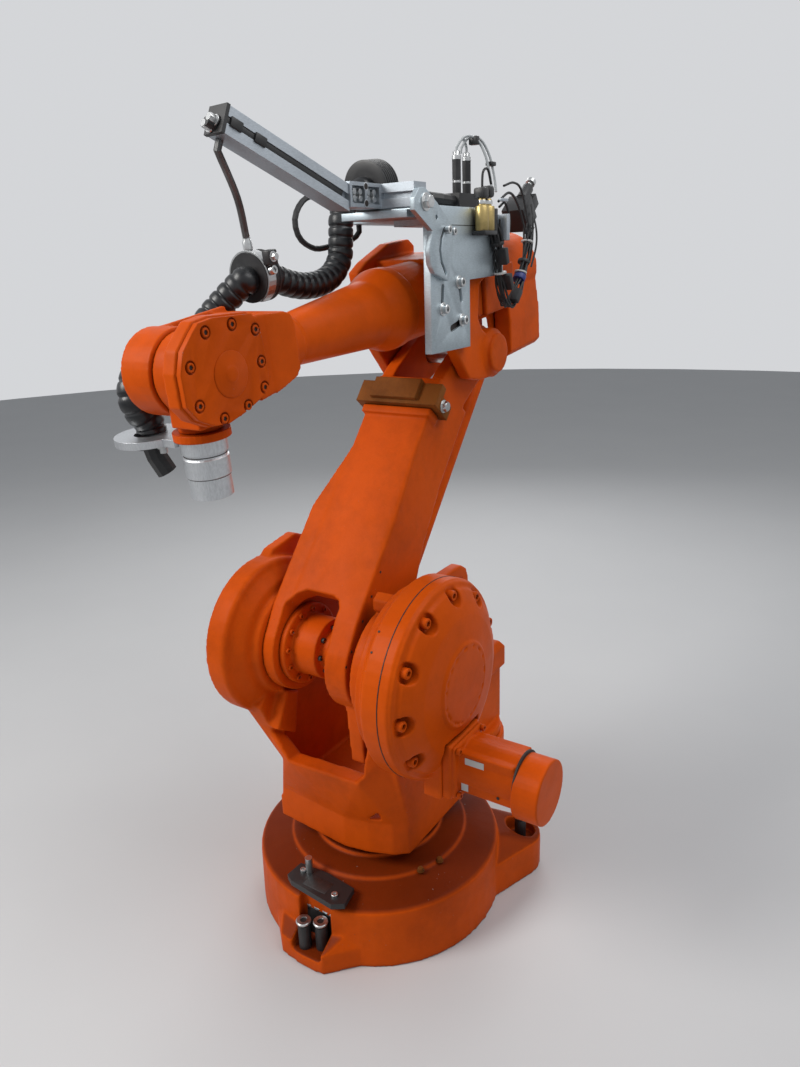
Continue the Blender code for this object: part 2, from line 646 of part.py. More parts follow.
def build_gear_units():
    ring_end, end = GEAR_RING_W, GEAR_RING_W + GEAR_DOME_W
    profile = [(0, end), (GEAR_CAP_R, end), (GEAR_CAP_R + 0.003, end - 0.004), (0.128, end - 0.011),
               (0.150, end - 0.020), (0.169, ring_end + 0.014), (0.174, ring_end + 0.006),
               (GEAR_SEAM_R, ring_end + 0.004), (GEAR_SEAM_R, ring_end),
               (GEAR_RING_R, ring_end - 0.003), (GEAR_RING_R, 0.030), (GEAR_BACK_R, 0.012),
               (GEAR_BACK_R, 0.0),
               (0, 0.0)]
    start = CHEEK_NEAR_OUT + 0.001 + GAP
    dome = turned(profile, axis="y", centre=(AXIS2_X, start, AXIS2_Z), steps=56)
    z = AXIS2_Z - MOTOR_DROP
    half = MOTOR_FLANGE_HALF + 0.004
    boss = box((AXIS2_X - half, start + GEAR_RING_W - 0.014, z - half),
               (AXIS2_X + half, MOTOR_SEAT_Y + 0.006, z + half))
    pockets = []
    for number in range(BOLT_COUNT):
        angle = math.radians(BOLT_FIRST + 360 * number / BOLT_COUNT)
        x = AXIS2_X + BOLT_CIRCLE_R * math.cos(angle)
        height = AXIS2_Z + BOLT_CIRCLE_R * math.sin(angle)
        if height > z + half + BOLT_POCKET_R or abs(x - AXIS2_X) > half + BOLT_POCKET_R:
            pockets.append(rod((x, start + ring_end + 0.004, height), 0.1, BOLT_POCKET_R, "y", 16))
    wide = half + 0.003
    seat = box((AXIS2_X - wide, MOTOR_SEAT_Y - GAP, z - wide), (AXIS2_X + wide, MOTOR_SEAT_Y + 0.1, z + wide))
    piece("gear_unit_near", dome, PAINT, frame_axis, add=[boss], cut=[seat, *pockets])
    far = turned([(0, FAR_UNIT_W), (FAR_UNIT_R - 0.030, FAR_UNIT_W), (FAR_UNIT_R, 0.010), (FAR_UNIT_R, 0.0),
                  (0, 0.0)], steps=40)
    far.transform(Matrix.Translation((AXIS2_X, -CHEEK_FAR_OUT - GAP, AXIS2_Z)) @ Matrix.Rotation(
        math.radians(90), 4, "X"))
    arm = plate([*arc((AXIS2_X, AXIS2_Z), 0.090, -90, 60, 12),
                 *arc((MOTOR3_X, MOTOR3_Z), MOTOR_FLANGE_HALF, 60, 260, 14)],
                -CHEEK_FAR_OUT - GAP - 0.022, -CHEEK_FAR_OUT - GAP)
    piece("gear_unit_far", far, PAINT, frame_axis, add=[arm])


def build_motors():
    z = AXIS2_Z - MOTOR_DROP
    start = MOTOR_SEAT_Y
    body = rod((AXIS2_X, start, z), MOTOR_LENGTH, MOTOR_R, "y", 28)
    shell = box((AXIS2_X - MOTOR_HALF, start, z - MOTOR_HALF),
                (AXIS2_X + MOTOR_HALF, start + MOTOR_LENGTH - MOTOR_CAP_L - 0.004, z + MOTOR_HALF))
    cap = rod((AXIS2_X, start + MOTOR_LENGTH - MOTOR_CAP_L, z - MOTOR_CAP_DROP), MOTOR_CAP_L, MOTOR_CAP_R,
              "y", 36)
    flange = box((AXIS2_X - MOTOR_FLANGE_HALF, start, z - MOTOR_FLANGE_HALF),
                 (AXIS2_X + MOTOR_FLANGE_HALF, start + MOTOR_FLANGE_T, z + MOTOR_FLANGE_HALF))
    piece("axis2_motor", body, PAINT, frame_axis, add=[shell, cap, flange])
    far_y = -CHEEK_FAR_OUT - 2 * GAP - 0.022
    flange = rod((MOTOR3_X, far_y - MOTOR_FLANGE_T, MOTOR3_Z), MOTOR_FLANGE_T, REAR_MOTOR_CAP_R, "y", 28)
    piece("axis3_motor", rod((MOTOR3_X, far_y - MOTOR3_L, MOTOR3_Z), MOTOR3_L, REAR_MOTOR_R, "y", 28), PAINT,
          frame_axis, add=[flange])
    low = REAR_GEAR_TOP + GAP
    body = box((REAR_GEAR_X - MOTOR1_HALF, REAR_GEAR_Y - MOTOR1_HALF, low + 0.016),
               (REAR_GEAR_X + MOTOR1_HALF, REAR_GEAR_Y + MOTOR1_HALF, low + MOTOR1_H))
    foot = rod((REAR_GEAR_X, REAR_GEAR_Y, low), 0.020, REAR_GEAR_R - 0.008, sides=36)
    hood = hull([(REAR_GEAR_X + sx * (MOTOR1_HALF + 0.008) * k, REAR_GEAR_Y + sy * (MOTOR1_HALF + 0.008) * k,
                  low + h) for sx in (-1, 1) for sy in (-1, 1)
                 for k, h in ((1.0, MOTOR1_H - 0.058), (1.0, MOTOR1_H - 0.012), (0.86, MOTOR1_H + 0.002))])
    piece("axis1_motor", body, PAINT, frame_axis, add=[foot, hood])


def build_lower_arm():
    body = box((-ARM_BACK, -ARM_HALF_W, ARM_BOX_FROM), (ARM_FRONT, ARM_HALF_W, ARM_BOX_TO))
    ear = [*arc((0, 0), EAR_R, 180, 345, 20), (ARM_FRONT, 0.04), (ARM_FRONT, 0.18), (ARM_FRONT - 0.004, 0.26),
           (-ARM_BACK, 0.26)]
    ears = [plate(ear, EAR_NEAR_IN, EAR_NEAR_OUT), plate(ear, -EAR_FAR_OUT, -EAR_FAR_IN)]
    shoulders = [hull([(x, sign * y, z) for x in (-ARM_BACK, ARM_FRONT - 0.001) for y, z in (
        (ARM_HALF_W - 0.01, ARCH_TOP - 0.045), (out, ARCH_TOP - 0.045), (out, 0.258),
        (ARM_HALF_W - 0.01, 0.40), (ARM_HALF_W, 0.40))])
        for sign, out in ((1, EAR_NEAR_OUT), (-1, EAR_FAR_OUT))]
    rim = box((ARM_FRONT - 0.03, -ARM_HALF_W - 0.006, RIM_FROM), (ARM_FRONT + RIM_T, ARM_HALF_W + 0.006,
                                                              BRACKET_FROM - GAP))
    tine = [(0.0, ARM_BOX_TO - 0.02), (ARM_FRONT - 0.002, ARM_BOX_TO - 0.02),
            (ARM_FRONT - 0.012, ARM_BOX_TO + 0.03), *arc((0, LOWER_ARM), FORK_R, 0, 180, 14),
            (-0.030, LOWER_ARM - 0.06)]
    tines = [plate(tine, FORK_IN, ARM_HALF_W), plate(tine, -ARM_HALF_W, -FORK_IN)]
    bore = rod((0, -0.2, LOWER_ARM), 0.4, ELBOW_SHAFT_R + RUNNING_GAP, "y")
    channel = box((-0.2, -EAR_FAR_IN, -0.2), (CHANNEL_FRONT, EAR_NEAR_IN, CHANNEL_TOP))
    arch = plate([(-EAR_FAR_IN, -0.2), (EAR_NEAR_IN, -0.2), (EAR_NEAR_IN, ARCH_TOP - 0.022),
                  (EAR_NEAR_IN - 0.007, ARCH_TOP - 0.007), (EAR_NEAR_IN - 0.024, ARCH_TOP),
                  (-EAR_FAR_IN + 0.040, ARCH_TOP), (-EAR_FAR_IN + 0.018, ARCH_TOP - 0.012),
                  (-EAR_FAR_IN, ARCH_TOP - 0.036)], CHANNEL_FRONT - 0.02, 0.2, across="x")
    limit_bar = plate([(0.019, -0.090), (-0.079, -0.190), (-0.105, -0.165), (-0.007, -0.065)], *LIMIT_BAR_Y)
    boss_room = rod((0, EAR_NEAR_OUT - RUNNING_GAP, 0), 0.1, CHEEK_BOSS_R + 0.005, "y", 40)
    limit_bar = carved(limit_bar, cut=[boss_room])
    piece("lower_arm_casting", body, PAINT, lower_axis, add=[*ears, *shoulders, rim, *tines, limit_bar],
          cut=[channel, arch, bore])
    front = ARM_FRONT + GAP
    strap = box((front, -BRACKET_HALF, BRACKET_FROM), (front + BRACKET_T, BRACKET_HALF, BRACKET_TO))
    pad = box((front + 0.002, -0.060, BRACKET_FROM + 0.008), (front + BRACKET_T + 0.010, 0.050,
                                                              BRACKET_TO + 0.004))
    sides = [box((front - BRACKET_SIDE, min(sign * (ARM_HALF_W + GAP), sign * BRACKET_HALF), BRACKET_FROM),
                 (front + 0.004, max(sign * (ARM_HALF_W + GAP), sign * BRACKET_HALF), BRACKET_FROM + 0.030))
             for sign in (1, -1)]
    piece("arm_bracket", strap, BRACKET_PAINT, lower_axis, add=[pad, *sides])


def build_linkage():
    """The lever on axis 2, its pin, and the rod that keeps the housing's angle."""
    far_end = -EAR_FAR_IN + RUNNING_GAP
    web_half = LEVER_WEB_H / 2
    hub = rod((0, far_end, 0), LEVER_HUB_END - far_end, LEVER_HUB_R, "y", 40)
    neck = rod((0, far_end, 0), LEVER_NEAR - far_end, LEVER_NECK_R, "y", 40)
    web = plate([(0, -web_half), (0, web_half), *arc((-LEVER, 0), LEVER_TIP_R, 90, 270, 10)], -LEVER_FAR,
                LEVER_NEAR)
    slot = ROD_EYE_W / 2 + ROD_SLOT / 2
    ring = rod((0, far_end, 0), LEVER_RING_W, LEVER_RING_R, "y", 40)
    piece("axis3_lever", hub, PAINT, lever_arm, add=[ring, neck, web],
          cut=[rod((-LEVER, -0.1, 0), 0.2, ROD_PIN_R + RUNNING_GAP, "y", 24),
               box((-LEVER - 0.05, -slot, -0.08), (-LEVER_HUB_R, slot, 0.08))])
    piece("rod_pin", rod((0, -LEVER_FAR, 0), LEVER_FAR + LEVER_NEAR, ROD_PIN_R, "y", 24), STEEL, rod_foot)
    eye = rod((0, -ROD_EYE_W / 2, 0), ROD_EYE_W, ROD_EYE_R, "y", 28)
    top_eye = rod((0, -ROD_EYE_W / 2, LOWER_ARM), ROD_EYE_W, ROD_EYE_R, "y", 28)
    shank = rod((0, 0, ROD_PIN_R + 0.002), LOWER_ARM - 2 * (ROD_PIN_R + 0.002), ROD_R, sides=20)
    holes = [rod((0, -0.1, z), 0.2, ROD_PIN_R + RUNNING_GAP, "y", 24) for z in (0, LOWER_ARM)]
    piece("tie_rod", shank, PAINT, rod_line, add=[eye, top_eye], cut=holes)
    length = 2 * (LUG_OUT + ELBOW_STEP_W)
    piece("elbow_shaft", rod((0, -length / 2, 0), length, ELBOW_SHAFT_R, "y"), STEEL, upper_axis)


def build_housing():
    core = box((HOUSING_REAR, -LUG_IN - 0.001, HOUSING_BOTTOM), (CORE_FRONT, LUG_IN + 0.001, CORE_TOP))
    beam = box((BEAM_REAR, -LUG_IN, BEAM_BOTTOM), (HOUSING_REAR + 0.01, 0.0, CORE_TOP - 0.03))
    flange = box((FLANGE_REAR, -LUG_IN + 0.001, FLANGE_BOTTOM), (FLANGE_FRONT, 0.033, BEAM_BOTTOM + 0.001))
    side = [*arc((0, 0), LUG_R, 60, 292, 20), (0.072, -0.043), (0.112, -0.030), (0.162, 0.040),
            (0.185, 0.110),
            (0.200, 0.198), (0.165, 0.215), (0.080, 0.240), (0.0, 0.240), (-0.020, 0.225), (-0.012, 0.170),
            (0.045, 0.150), (0.060, 0.085), (0.046, 0.060)]
    sides = [plate(side, LUG_IN, LUG_OUT), plate(side, -LUG_OUT, -LUG_IN)]
    closed = LUG_OUT + ELBOW_STEP_W + GAP
    steps = [rod((0, -LUG_OUT - ELBOW_STEP_W, 0), 2 * (LUG_OUT + ELBOW_STEP_W), ELBOW_STEP_R, "y", 36),
             rod((0, -closed - ELBOW_CAP_W, 0), 2 * (closed + ELBOW_CAP_W), ELBOW_CAP_R, "y", 36)]
    between = box((-0.08, -LUG_IN, -0.08), (0.08, LUG_IN, ELBOW_STEP_R + 0.004))
    caps = [carved(steps[0], add=[steps[1]], cut=[between])]
    barrel = rod((CORE_FRONT - 0.05, 0, ELBOW_RISE), FLANGE_S - CORE_FRONT + 0.05 - GAP, BARREL_R, "x")
    drop = math.radians(LEVER_DROP)
    eye = (-LEVER * math.cos(drop), -LEVER * math.sin(drop))
    inner = ROD_EYE_W / 2 + ROD_SLOT / 2
    bracket = [(eye[0] - LEVER_TIP_R, FLANGE_BOTTOM + 0.01), *arc(eye, LEVER_TIP_R, 180, 360, 12),
               (eye[0] + LEVER_TIP_R + 0.02, FLANGE_BOTTOM + 0.01)]
    ears = [plate(bracket, inner, inner + ROD_BRACKET_W), plate(bracket, -inner - ROD_BRACKET_W, -inner)]
    pivot = rod((eye[0], -inner - 0.001, eye[1]), 2 * inner + 0.002, ROD_PIN_R, "y", 24)
    bore = rod((0, -closed, 0), 2 * closed, ELBOW_SHAFT_R + RUNNING_GAP, "y")
    piece("upper_arm_housing", core, PAINT, upper_axis, add=[*sides, *caps, barrel, beam, flange, *ears,
                                                             pivot],
          cut=[bore])
    cover = [*arc((-0.005, COVER_LOBE_Z), COVER_LOBE_R, -20, 220, 26), (-0.062, 0.079), (0.036, 0.079),
             (0.036, -0.036),
             (0.044, -0.044), (0.064, -0.044), (0.076, -0.032), (0.077, 0.040)]
    front = BEAM_REAR - GAP
    piece("rear_motor_cover", plate(cover, COVER_REAR, front, across="x"), PAINT, upper_axis)
    motor = box((front + GAP, *MOTOR4_LOW), (HOUSING_REAR - GAP, *MOTOR4_HIGH))
    piece("axis4_motor", motor, PAINT, upper_axis)


def build_forearm():
    profile = [(0, BLOCK_END_S), (BLOCK_R, BLOCK_END_S), (BLOCK_R, BLOCK_S), (COLLAR_R, BLOCK_S),
               (COLLAR_R, COLLAR_S), (TUBE_R_FRONT, COLLAR_S - 0.010), (TUBE_R_REAR, FLANGE_S + CONE_L),
               (TUBE_FLANGE_R, FLANGE_S + FLANGE_T), (TUBE_FLANGE_R, FLANGE_S), (0, FLANGE_S)]
    piece("forearm_tube", turned(profile, axis="x", steps=40), PAINT, forearm_axis)


def build_wrist():
    block_end = BLOCK_END_S - FOREARM + GAP
    block = plate([(BRIDGE_FRONT, 0.066), (-0.150, 0.062), (-0.164, 0.055), (block_end, 0.040),
                   (block_end, -0.030), (-0.158, -0.042), (-0.120, -0.052), (BRIDGE_FRONT, -0.055)],
                  -FAR_CHEEK_OUT + 0.004, BLOCK_NEAR_Y)
    joint = plate([(-0.070, 0.068), (-0.115, 0.0655), (-0.115, -0.053), (-0.070, -0.058)], NEAR_CHEEK_IN,
                  BLOCK_NEAR_Y - 0.0005)
    cover = [(0.060, 0.070), (0.046, 0.081), (0.018, 0.083), (-0.058, 0.075), (-0.070, 0.058),
             (-0.0745, 0.010), (-0.073, -0.030), (-0.062, -0.043), (-0.017, -0.057), (0.022, -0.064),
             (0.050, -0.060), (0.078, -0.044), (0.094, -0.022), (0.093, 0.022), (0.082, 0.050)]
    cheek = [(0.01 + (x - 0.01) * CHEEK_MARGIN, 0.008 + (z - 0.008) * CHEEK_MARGIN) for x, z in cover]
    near = plate(cheek, NEAR_CHEEK_IN, NEAR_CHEEK_OUT)
    far = plate([*arc((0, 0), FAR_CHEEK_R, -140, 140, 28), (-0.060, FAR_CHEEK_NECK),
                 (BRIDGE_FRONT - 0.01, FAR_CHEEK_NECK),
                 (BRIDGE_FRONT - 0.01, -FAR_CHEEK_NECK), (-0.060, -FAR_CHEEK_NECK)], -FAR_CHEEK_OUT,
                 -FAR_CHEEK_IN)
    rib = plate([*arc((0, 0), FAR_CHEEK_R, -93, 93, 24), (-0.140, 0.072), (-0.140, -0.072)],
                -FAR_RIB_OUT, -FAR_RIB_IN)
    piece("wrist_fork", block, PAINT, wrist_axis, add=[joint, near, far, rib])
    piece("wrist_cover", plate(cover, NEAR_CHEEK_OUT + GAP, NEAR_CHEEK_OUT + GAP + COVER_T), PAINT,
          wrist_axis)
    drum = rod((0, -TILT_FAR, 0), TILT_FAR + TILT_NEAR, TILT_R, "y", 36)
    start = FAR_CHEEK_R + NECK_STANDOFF
    nose = rod((start, 0, 0), WRIST_TO_FLANGE - start - GAP, TILT_NECK_R, "x", 28)
    shell = box((-0.030, -TILT_FAR, -TILT_SHELL_H), (start + 0.002, TILT_NEAR, TILT_SHELL_H))
    core_low, core_high = -FAR_CHEEK_IN + GAP, NEAR_CHEEK_IN - GAP
    core = rod((0, core_low, 0), core_high - core_low, TILT_CORE_R, "y", 28)
    piece("tilt_housing", drum, PAINT, tilt_axis, add=[shell, nose, core])


def build_tool():
    piece("tool_flange", rod((WRIST_TO_FLANGE, 0, 0), TOOL_FLANGE_T, TOOL_FLANGE_R, "x", 32), PAINT,
          tilt_axis)
    start = WRIST_TO_FLANGE + TOOL_FLANGE_T + GAP
    adapter = turned([(0, ADAPTER_LENGTH), (ADAPTER_R - 0.003, ADAPTER_LENGTH), (ADAPTER_R - 0.003, 0.060),
                      (ADAPTER_R - 0.001, 0.058), (ADAPTER_R - 0.001, 0.030), (ADAPTER_R - 0.003, 0.028),
                      (ADAPTER_R - 0.003, 0.022), (ADAPTER_R, 0.021), (ADAPTER_R, 0.0), (0, 0.0)],
                     axis="x", centre=(start, 0, 0), steps=36)
    piece("tool_adapter", adapter, ALUMINIUM, tilt_axis)
    low = RING_S - RING_T / 2
    ring = rod((low, RING_OFFSET_Y, RING_OFFSET_N), RING_T, RING_R, "x", 36)
    arm = box((low, RING_OFFSET_Y + HOSE_R + 0.010, RING_OFFSET_N - RING_ARM_H),
              (low + RING_T, -ADAPTER_R - GAP, RING_OFFSET_N + RING_ARM_H))
    hole = rod((low - 0.1, RING_OFFSET_Y, RING_OFFSET_N), 0.3, HOSE_BORE_R, "x", 24)
    piece("clamp_ring", ring, ALUMINIUM, tilt_axis, add=[arm], cut=[hole])
    plug = [(RING_S + RING_T / 2 + GAP, RING_OFFSET_Y, RING_OFFSET_N),
            (RING_S + 0.030, RING_OFFSET_Y + 0.004, RING_OFFSET_N - 0.002),
            (RING_S + 0.058, RING_OFFSET_Y + 0.012, RING_OFFSET_N - 0.010)]
    collar = rod(plug[0], PLUG_COLLAR_L, PLUG_COLLAR_R, "x", 28)
    body = tube([Vector(p) for p in plug], PLUG_R, 3)
    piece("cable_connector", collar, BLACK, tilt_axis, add=[moved(body, Matrix.Translation((0.002, 0, 0)))])


def build_plates():
    """The plates that are bolted to the near side of the housing."""
    low = LUG_OUT + GAP
    outline = [(0.283, 0.027), (0.280, 0.254), (0.243, 0.256), (0.243, TRAY_Z + TRAY_T),
               (0.072, TRAY_Z + TRAY_T),
               (-0.012, TRAY_Z + 0.004), (-0.012, 0.160), (0.133, 0.155), (0.133, 0.027)]
    tray = box((0.045, 0.020, TRAY_Z), (0.240, low + 0.001, TRAY_Z + TRAY_T))
    shelf = box((0.046, -0.030, SHELF_Z), (0.336, low + 0.002, SHELF_Z + SHELF_T))
    under_clamp = box((0.047, -0.112, SHELF_Z), (0.222, -0.029, SHELF_Z + SHELF_T))
    piece("dress_plate", plate(outline, low, low + DRESS_T), STEEL, dress_axis,
          add=[tray, shelf, under_clamp])
    face = low + DRESS_T + GAP
    crescent = [(0.330, 0.312), (0.345, 0.296), (0.346, 0.276), (0.288, 0.243), (0.293, 0.232),
                (0.300, 0.210),
                (0.296, 0.186), (0.283, 0.171), (0.237, 0.156), (0.224, 0.182), (0.216, 0.215),
                (0.218, 0.252),
                (0.270, 0.290), (0.312, 0.314)]
    bore = rod((0.273, 0.0, 0.266), 0.3, 0.004, "y", 12)
    piece("crescent_arm", plate(crescent, face, face + CRESCENT_T), ALUMINIUM, dress_axis, cut=[bore])


def profile_bar(length, wide=PROFILE):
    """A slotted profile along +x, centred on y and z."""
    half = PROFILE / 2
    bar = box((0, -half, -wide / 2), (length, half, wide / 2))
    depth = PROFILE_GROOVE
    lip = PROFILE_LIP_W / 2
    grooves = [box((-0.01, half - depth, -lip), (length + 0.01, half + 0.01, lip)),
               box((-0.01, -half - 0.01, -lip), (length + 0.01, -half + depth, lip))]
    return carved(bar, cut=grooves)


def build_profiles():
    """The slotted profiles above the plate. Gives the place of the long one."""
    face = LUG_OUT + GAP + DRESS_T
    cross_z = TRAY_Z + TRAY_T + GAP + PROFILE / 2 - 0.004
    turn = Matrix.Rotation(math.radians(-90), 4, "Z")
    cross = profile_bar(face - CROSS_END_Y)
    cross.transform(Matrix.Translation((CROSS_X + PROFILE / 2, face, cross_z)) @ turn)
    left = CROSS_X + PROFILE - GAP
    swing = math.radians(LONG_SWING)
    long_at = Vector((LONG_END, LONG_Y, cross_z - LONG_DROP))
    block = box((left, CROSS_END_Y - BLOCK_W, cross_z - PROFILE / 2),
                (left + BLOCK_L, CROSS_END_Y, cross_z + PROFILE / 2))
    cells = [box((left + 0.006 + 0.043 * i, CROSS_END_Y - 0.012, cross_z - PROFILE / 2 + 0.006),
                 (left + 0.043 + 0.043 * i, CROSS_END_Y + 0.01, cross_z + PROFILE / 2 - 0.006)) for i in (0,
                                                                                                          1)]
    end_plate = box((CROSS_X, CROSS_END_Y - 0.008, cross_z - PROFILE / 2),
                    (left + 0.002, CROSS_END_Y + GAP, cross_z + PROFILE / 2))
    piece("profile_cross", cross, ALUMINIUM, dress_axis, add=[carved(block, cut=cells), end_plate])
    slope = Matrix.Rotation(-swing, 4, "Z") @ Matrix.Rotation(math.radians(-LONG_SLOPE), 4, "Y")
    place = Matrix.Translation(long_at) @ slope
    behind = box((0.2, -0.2, 0.1), (left + BLOCK_L + GAP, 0.3, 0.6))
    piece("profile_long", moved(profile_bar(LONG_LENGTH), place), ALUMINIUM, dress_axis, cut=[behind])
    half = PROFILE / 2 + 0.001
    cap = box((LONG_LENGTH + GAP, -half, -half), (LONG_LENGTH + GAP + CAP_T, half, half))
    nuts = rod((LONG_LENGTH + GAP + CAP_T - 0.001, 0, -0.010), 0.016, 0.007, "x", 12)
    piece("profile_end_cap", moved(cap, place), BLACK, dress_axis, add=[moved(nuts, place)])
    return place


def build_hose(place):
    """The hose from its clamp behind the profiles to the ring on the tool, and what carries it."""
    clamp_at = Vector((0.150, -0.062, 0.352))
    saddle_at = Vector((0.505, -0.073, 0.236))
    lead = Vector((HOSE_LEAD, 0, 0))
    start = clamp_at + Vector((CLAMP_W / 2 + GAP, 0, -0.004))
    end = saddle_at + Vector((-SADDLE_W / 2 - GAP, 0, -0.004))
    route = [start + lead, (0.226, -0.068, 0.334), (0.250, -0.070, 0.306), (0.260, -0.070, 0.268),
             (0.270, -0.070, 0.236), (0.296, -0.071, 0.211), (0.336, -0.071, 0.200), (0.385, -0.071, 0.202),
             (0.430, -0.072, 0.214), end - lead]
    piece("hose_upper", tube([start, *smooth_route(route, 0.020), end], HOSE_R, 3), RUBBER, upper_axis)
    clamp = rod(clamp_at - Vector((CLAMP_W / 2, 0, 0)), CLAMP_W, CLAMP_R, "x", 32)
    to_upper = Matrix.Rotation(-math.radians(FOREARM_DIP), 4, "Y")
    middle = to_upper.inverted() @ clamp_at
    foot = moved(box((middle.x - CLAMP_W / 2, middle.y - 0.030, SHELF_Z + SHELF_T + GAP),
                     (middle.x + CLAMP_W / 2 - 0.006, middle.y + 0.030, middle.z - 0.030)), to_upper)
    piece("hose_clamp", clamp, BLACK, upper_axis, add=[foot])
    saddle = rod(saddle_at - Vector((SADDLE_W / 2, 0, 0)), SADDLE_W, SADDLE_R, "x", 32)
    piece("hose_saddle", saddle, BLACK, upper_axis)
    inner = SADDLE_R + GAP
    strap_outline = [*arc((saddle_at.y, saddle_at.z), inner + STRAP_T, -60, 240, 30),
                     *arc((saddle_at.y, saddle_at.z), inner, 240, -60, 30)]
    low = saddle_at.x + SADDLE_W / 2 - STRAP_W - 0.001
    piece("saddle_strap", plate(strap_outline, low, low + STRAP_W, across="x"), ALUMINIUM, upper_axis)
    anchor = to_upper @ (place @ Vector((LONG_LENGTH - 0.014, -0.010, -PROFILE / 2 - 2 * GAP)))
    top = Vector((low + STRAP_W / 2, saddle_at.y, saddle_at.z + inner + STRAP_T + GAP))
    down = to_upper.to_3x3() @ (place.to_3x3() @ Vector((0, 0, -0.014)))
    sag = anchor.lerp(top, 0.5) + Vector((-0.006, 0, 0))
    hang = smooth_route([anchor + down, sag, top + Vector((0, 0, 0.018))], 0.016)
    piece("hanger_strap", tube([anchor, *hang, top], HANGER_R, 2), RUBBER, upper_axis)
    ring_at = Vector((FOREARM + 0.0024, RING_OFFSET_Y, ELBOW_RISE - RING_S + RING_T / 2 + 4 * GAP))
    start = saddle_at + Vector((SADDLE_W / 2 + GAP, 0, -0.004))
    front = [start + lead, (0.552, -0.090, 0.216), (0.576, -0.112, 0.190), (0.610, -0.124, 0.164),
             (0.660, -0.127, 0.150), (0.715, -0.126, 0.143), (0.757, -0.122, 0.124), (0.775, -0.117, 0.096),
             (0.768, -0.114, 0.066),
             ring_at + Vector((0, 0, HOSE_LEAD))]
    points = [start, *smooth_route(front, 0.016), ring_at]
    cuts = (0, len(points) // 3, 2 * len(points) // 3, len(points))
    for name, first, last in zip(("hose_forearm", "hose_wrist", "hose_tool"), cuts, cuts[1:]):
        run = points[max(first - 1, 0):last]
        if first:
            along = (points[first - 1] - points[first - 2]).normalized()
            run = [run[0] + along * GAP, run[0] + along * HOSE_LEAD, *run[2:]]
        piece(name, tube(run, HOSE_R, 3), RUBBER, upper_axis)


def build_cables():
    loop = [(0.1737, -0.095, 0.360), (0.192, -0.095, 0.360), (0.240, -0.109, 0.352), (0.300, -0.112, 0.345),
            (0.335, -0.112, 0.316), (0.330, -0.112, 0.280), (0.291, -0.112, 0.257), (0.245, -0.110, 0.2545),
            (0.205, -0.105, 0.2565), (0.172, -0.102, 0.2615), (0.1555, -0.100, 0.2722)]
    to_upper = Matrix.Rotation(-math.radians(FOREARM_DIP), 4, "Y")
    loop_end = to_upper @ Vector((0.185, -0.100, SHELF_Z - GAP))
    piece("cable_loop", tube([*smooth_route(loop, 0.014), loop_end], CABLE_R, 2), RUBBER, upper_axis)
    top = TRAY_Z + TRAY_T + GAP
    base = box((0.045, 0.062, top), (0.122, 0.096, top + 0.028))
    valves = [rod((x, 0.079, top + 0.027), 0.062, 0.0085, sides=16) for x in (0.062, 0.102)]
    piece("valve_pair", base, BLACK, dress_axis, add=valves)
    rear = -0.012 - GAP
    low = LUG_OUT + GAP
    solenoid = box((0.060, low + DRESS_T + GAP, 0.236), (0.124, low + DRESS_T + 0.030, 0.252))
    coils = [rod((x, low + DRESS_T + 0.0155, 0.250), 0.066, 0.0118, sides=20) for x in COIL_X]
    piece("solenoid_block", solenoid, BRASS, dress_axis, add=coils)
    sensor = box((-0.215, 0.070, 0.270), (-0.160, 0.110, 0.315))
    arm = box((-0.178, low, 0.241), (rear, low + 0.006, 0.256))
    upright = box((-0.178, 0.100, 0.240), (-0.164, low + 0.007, 0.282))
    pin = rod((-0.250, 0.092, 0.318), 0.070, 0.008, "x", 14)
    piece("sensor_block", sensor, BLACK, dress_axis, add=[arm, upright, pin])
    y = low + DRESS_T + BUNDLE_R + GAP
    bundle = [(0.046, y, 0.262), (0.034, y, 0.225), (0.026, y, 0.180), (0.016, y, 0.132), (-0.008, y, 0.098),
              (-0.052, y, 0.128), (-0.090, y, 0.180), (-0.120, y, 0.256)]
    piece("cable_bundle", tube(smooth_route(bundle, 0.020), BUNDLE_R, 2), RUBBER, dress_axis)
    start = Vector((0.122 + GAP, 0.079, 0.3015))
    hose = [start + Vector((HOSE_LEAD, 0, 0)), (0.158, 0.072, 0.304), (0.176, 0.050, 0.308),
            (0.186, 0.010, 0.318)]
    piece("supply_hose", tube([start, *smooth_route(hose, 0.018)], SUPPLY_R, 2), RUBBER, dress_axis)


build_base()
build_base_fittings()
build_frame()
build_gear_units()
build_motors()
build_lower_arm()
build_linkage()
build_housing()
build_forearm()
build_wrist()
build_tool()
build_plates()
profile_place = build_profiles()
build_hose(profile_place)
build_cables()
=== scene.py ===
"""Looks of the six-axis robot arm: worn orange castings, steel plates, profiles, ribbed hose and screws."""
import json
import math

import bmesh
import bpy
import numpy as np
from mathutils import Matrix, Vector

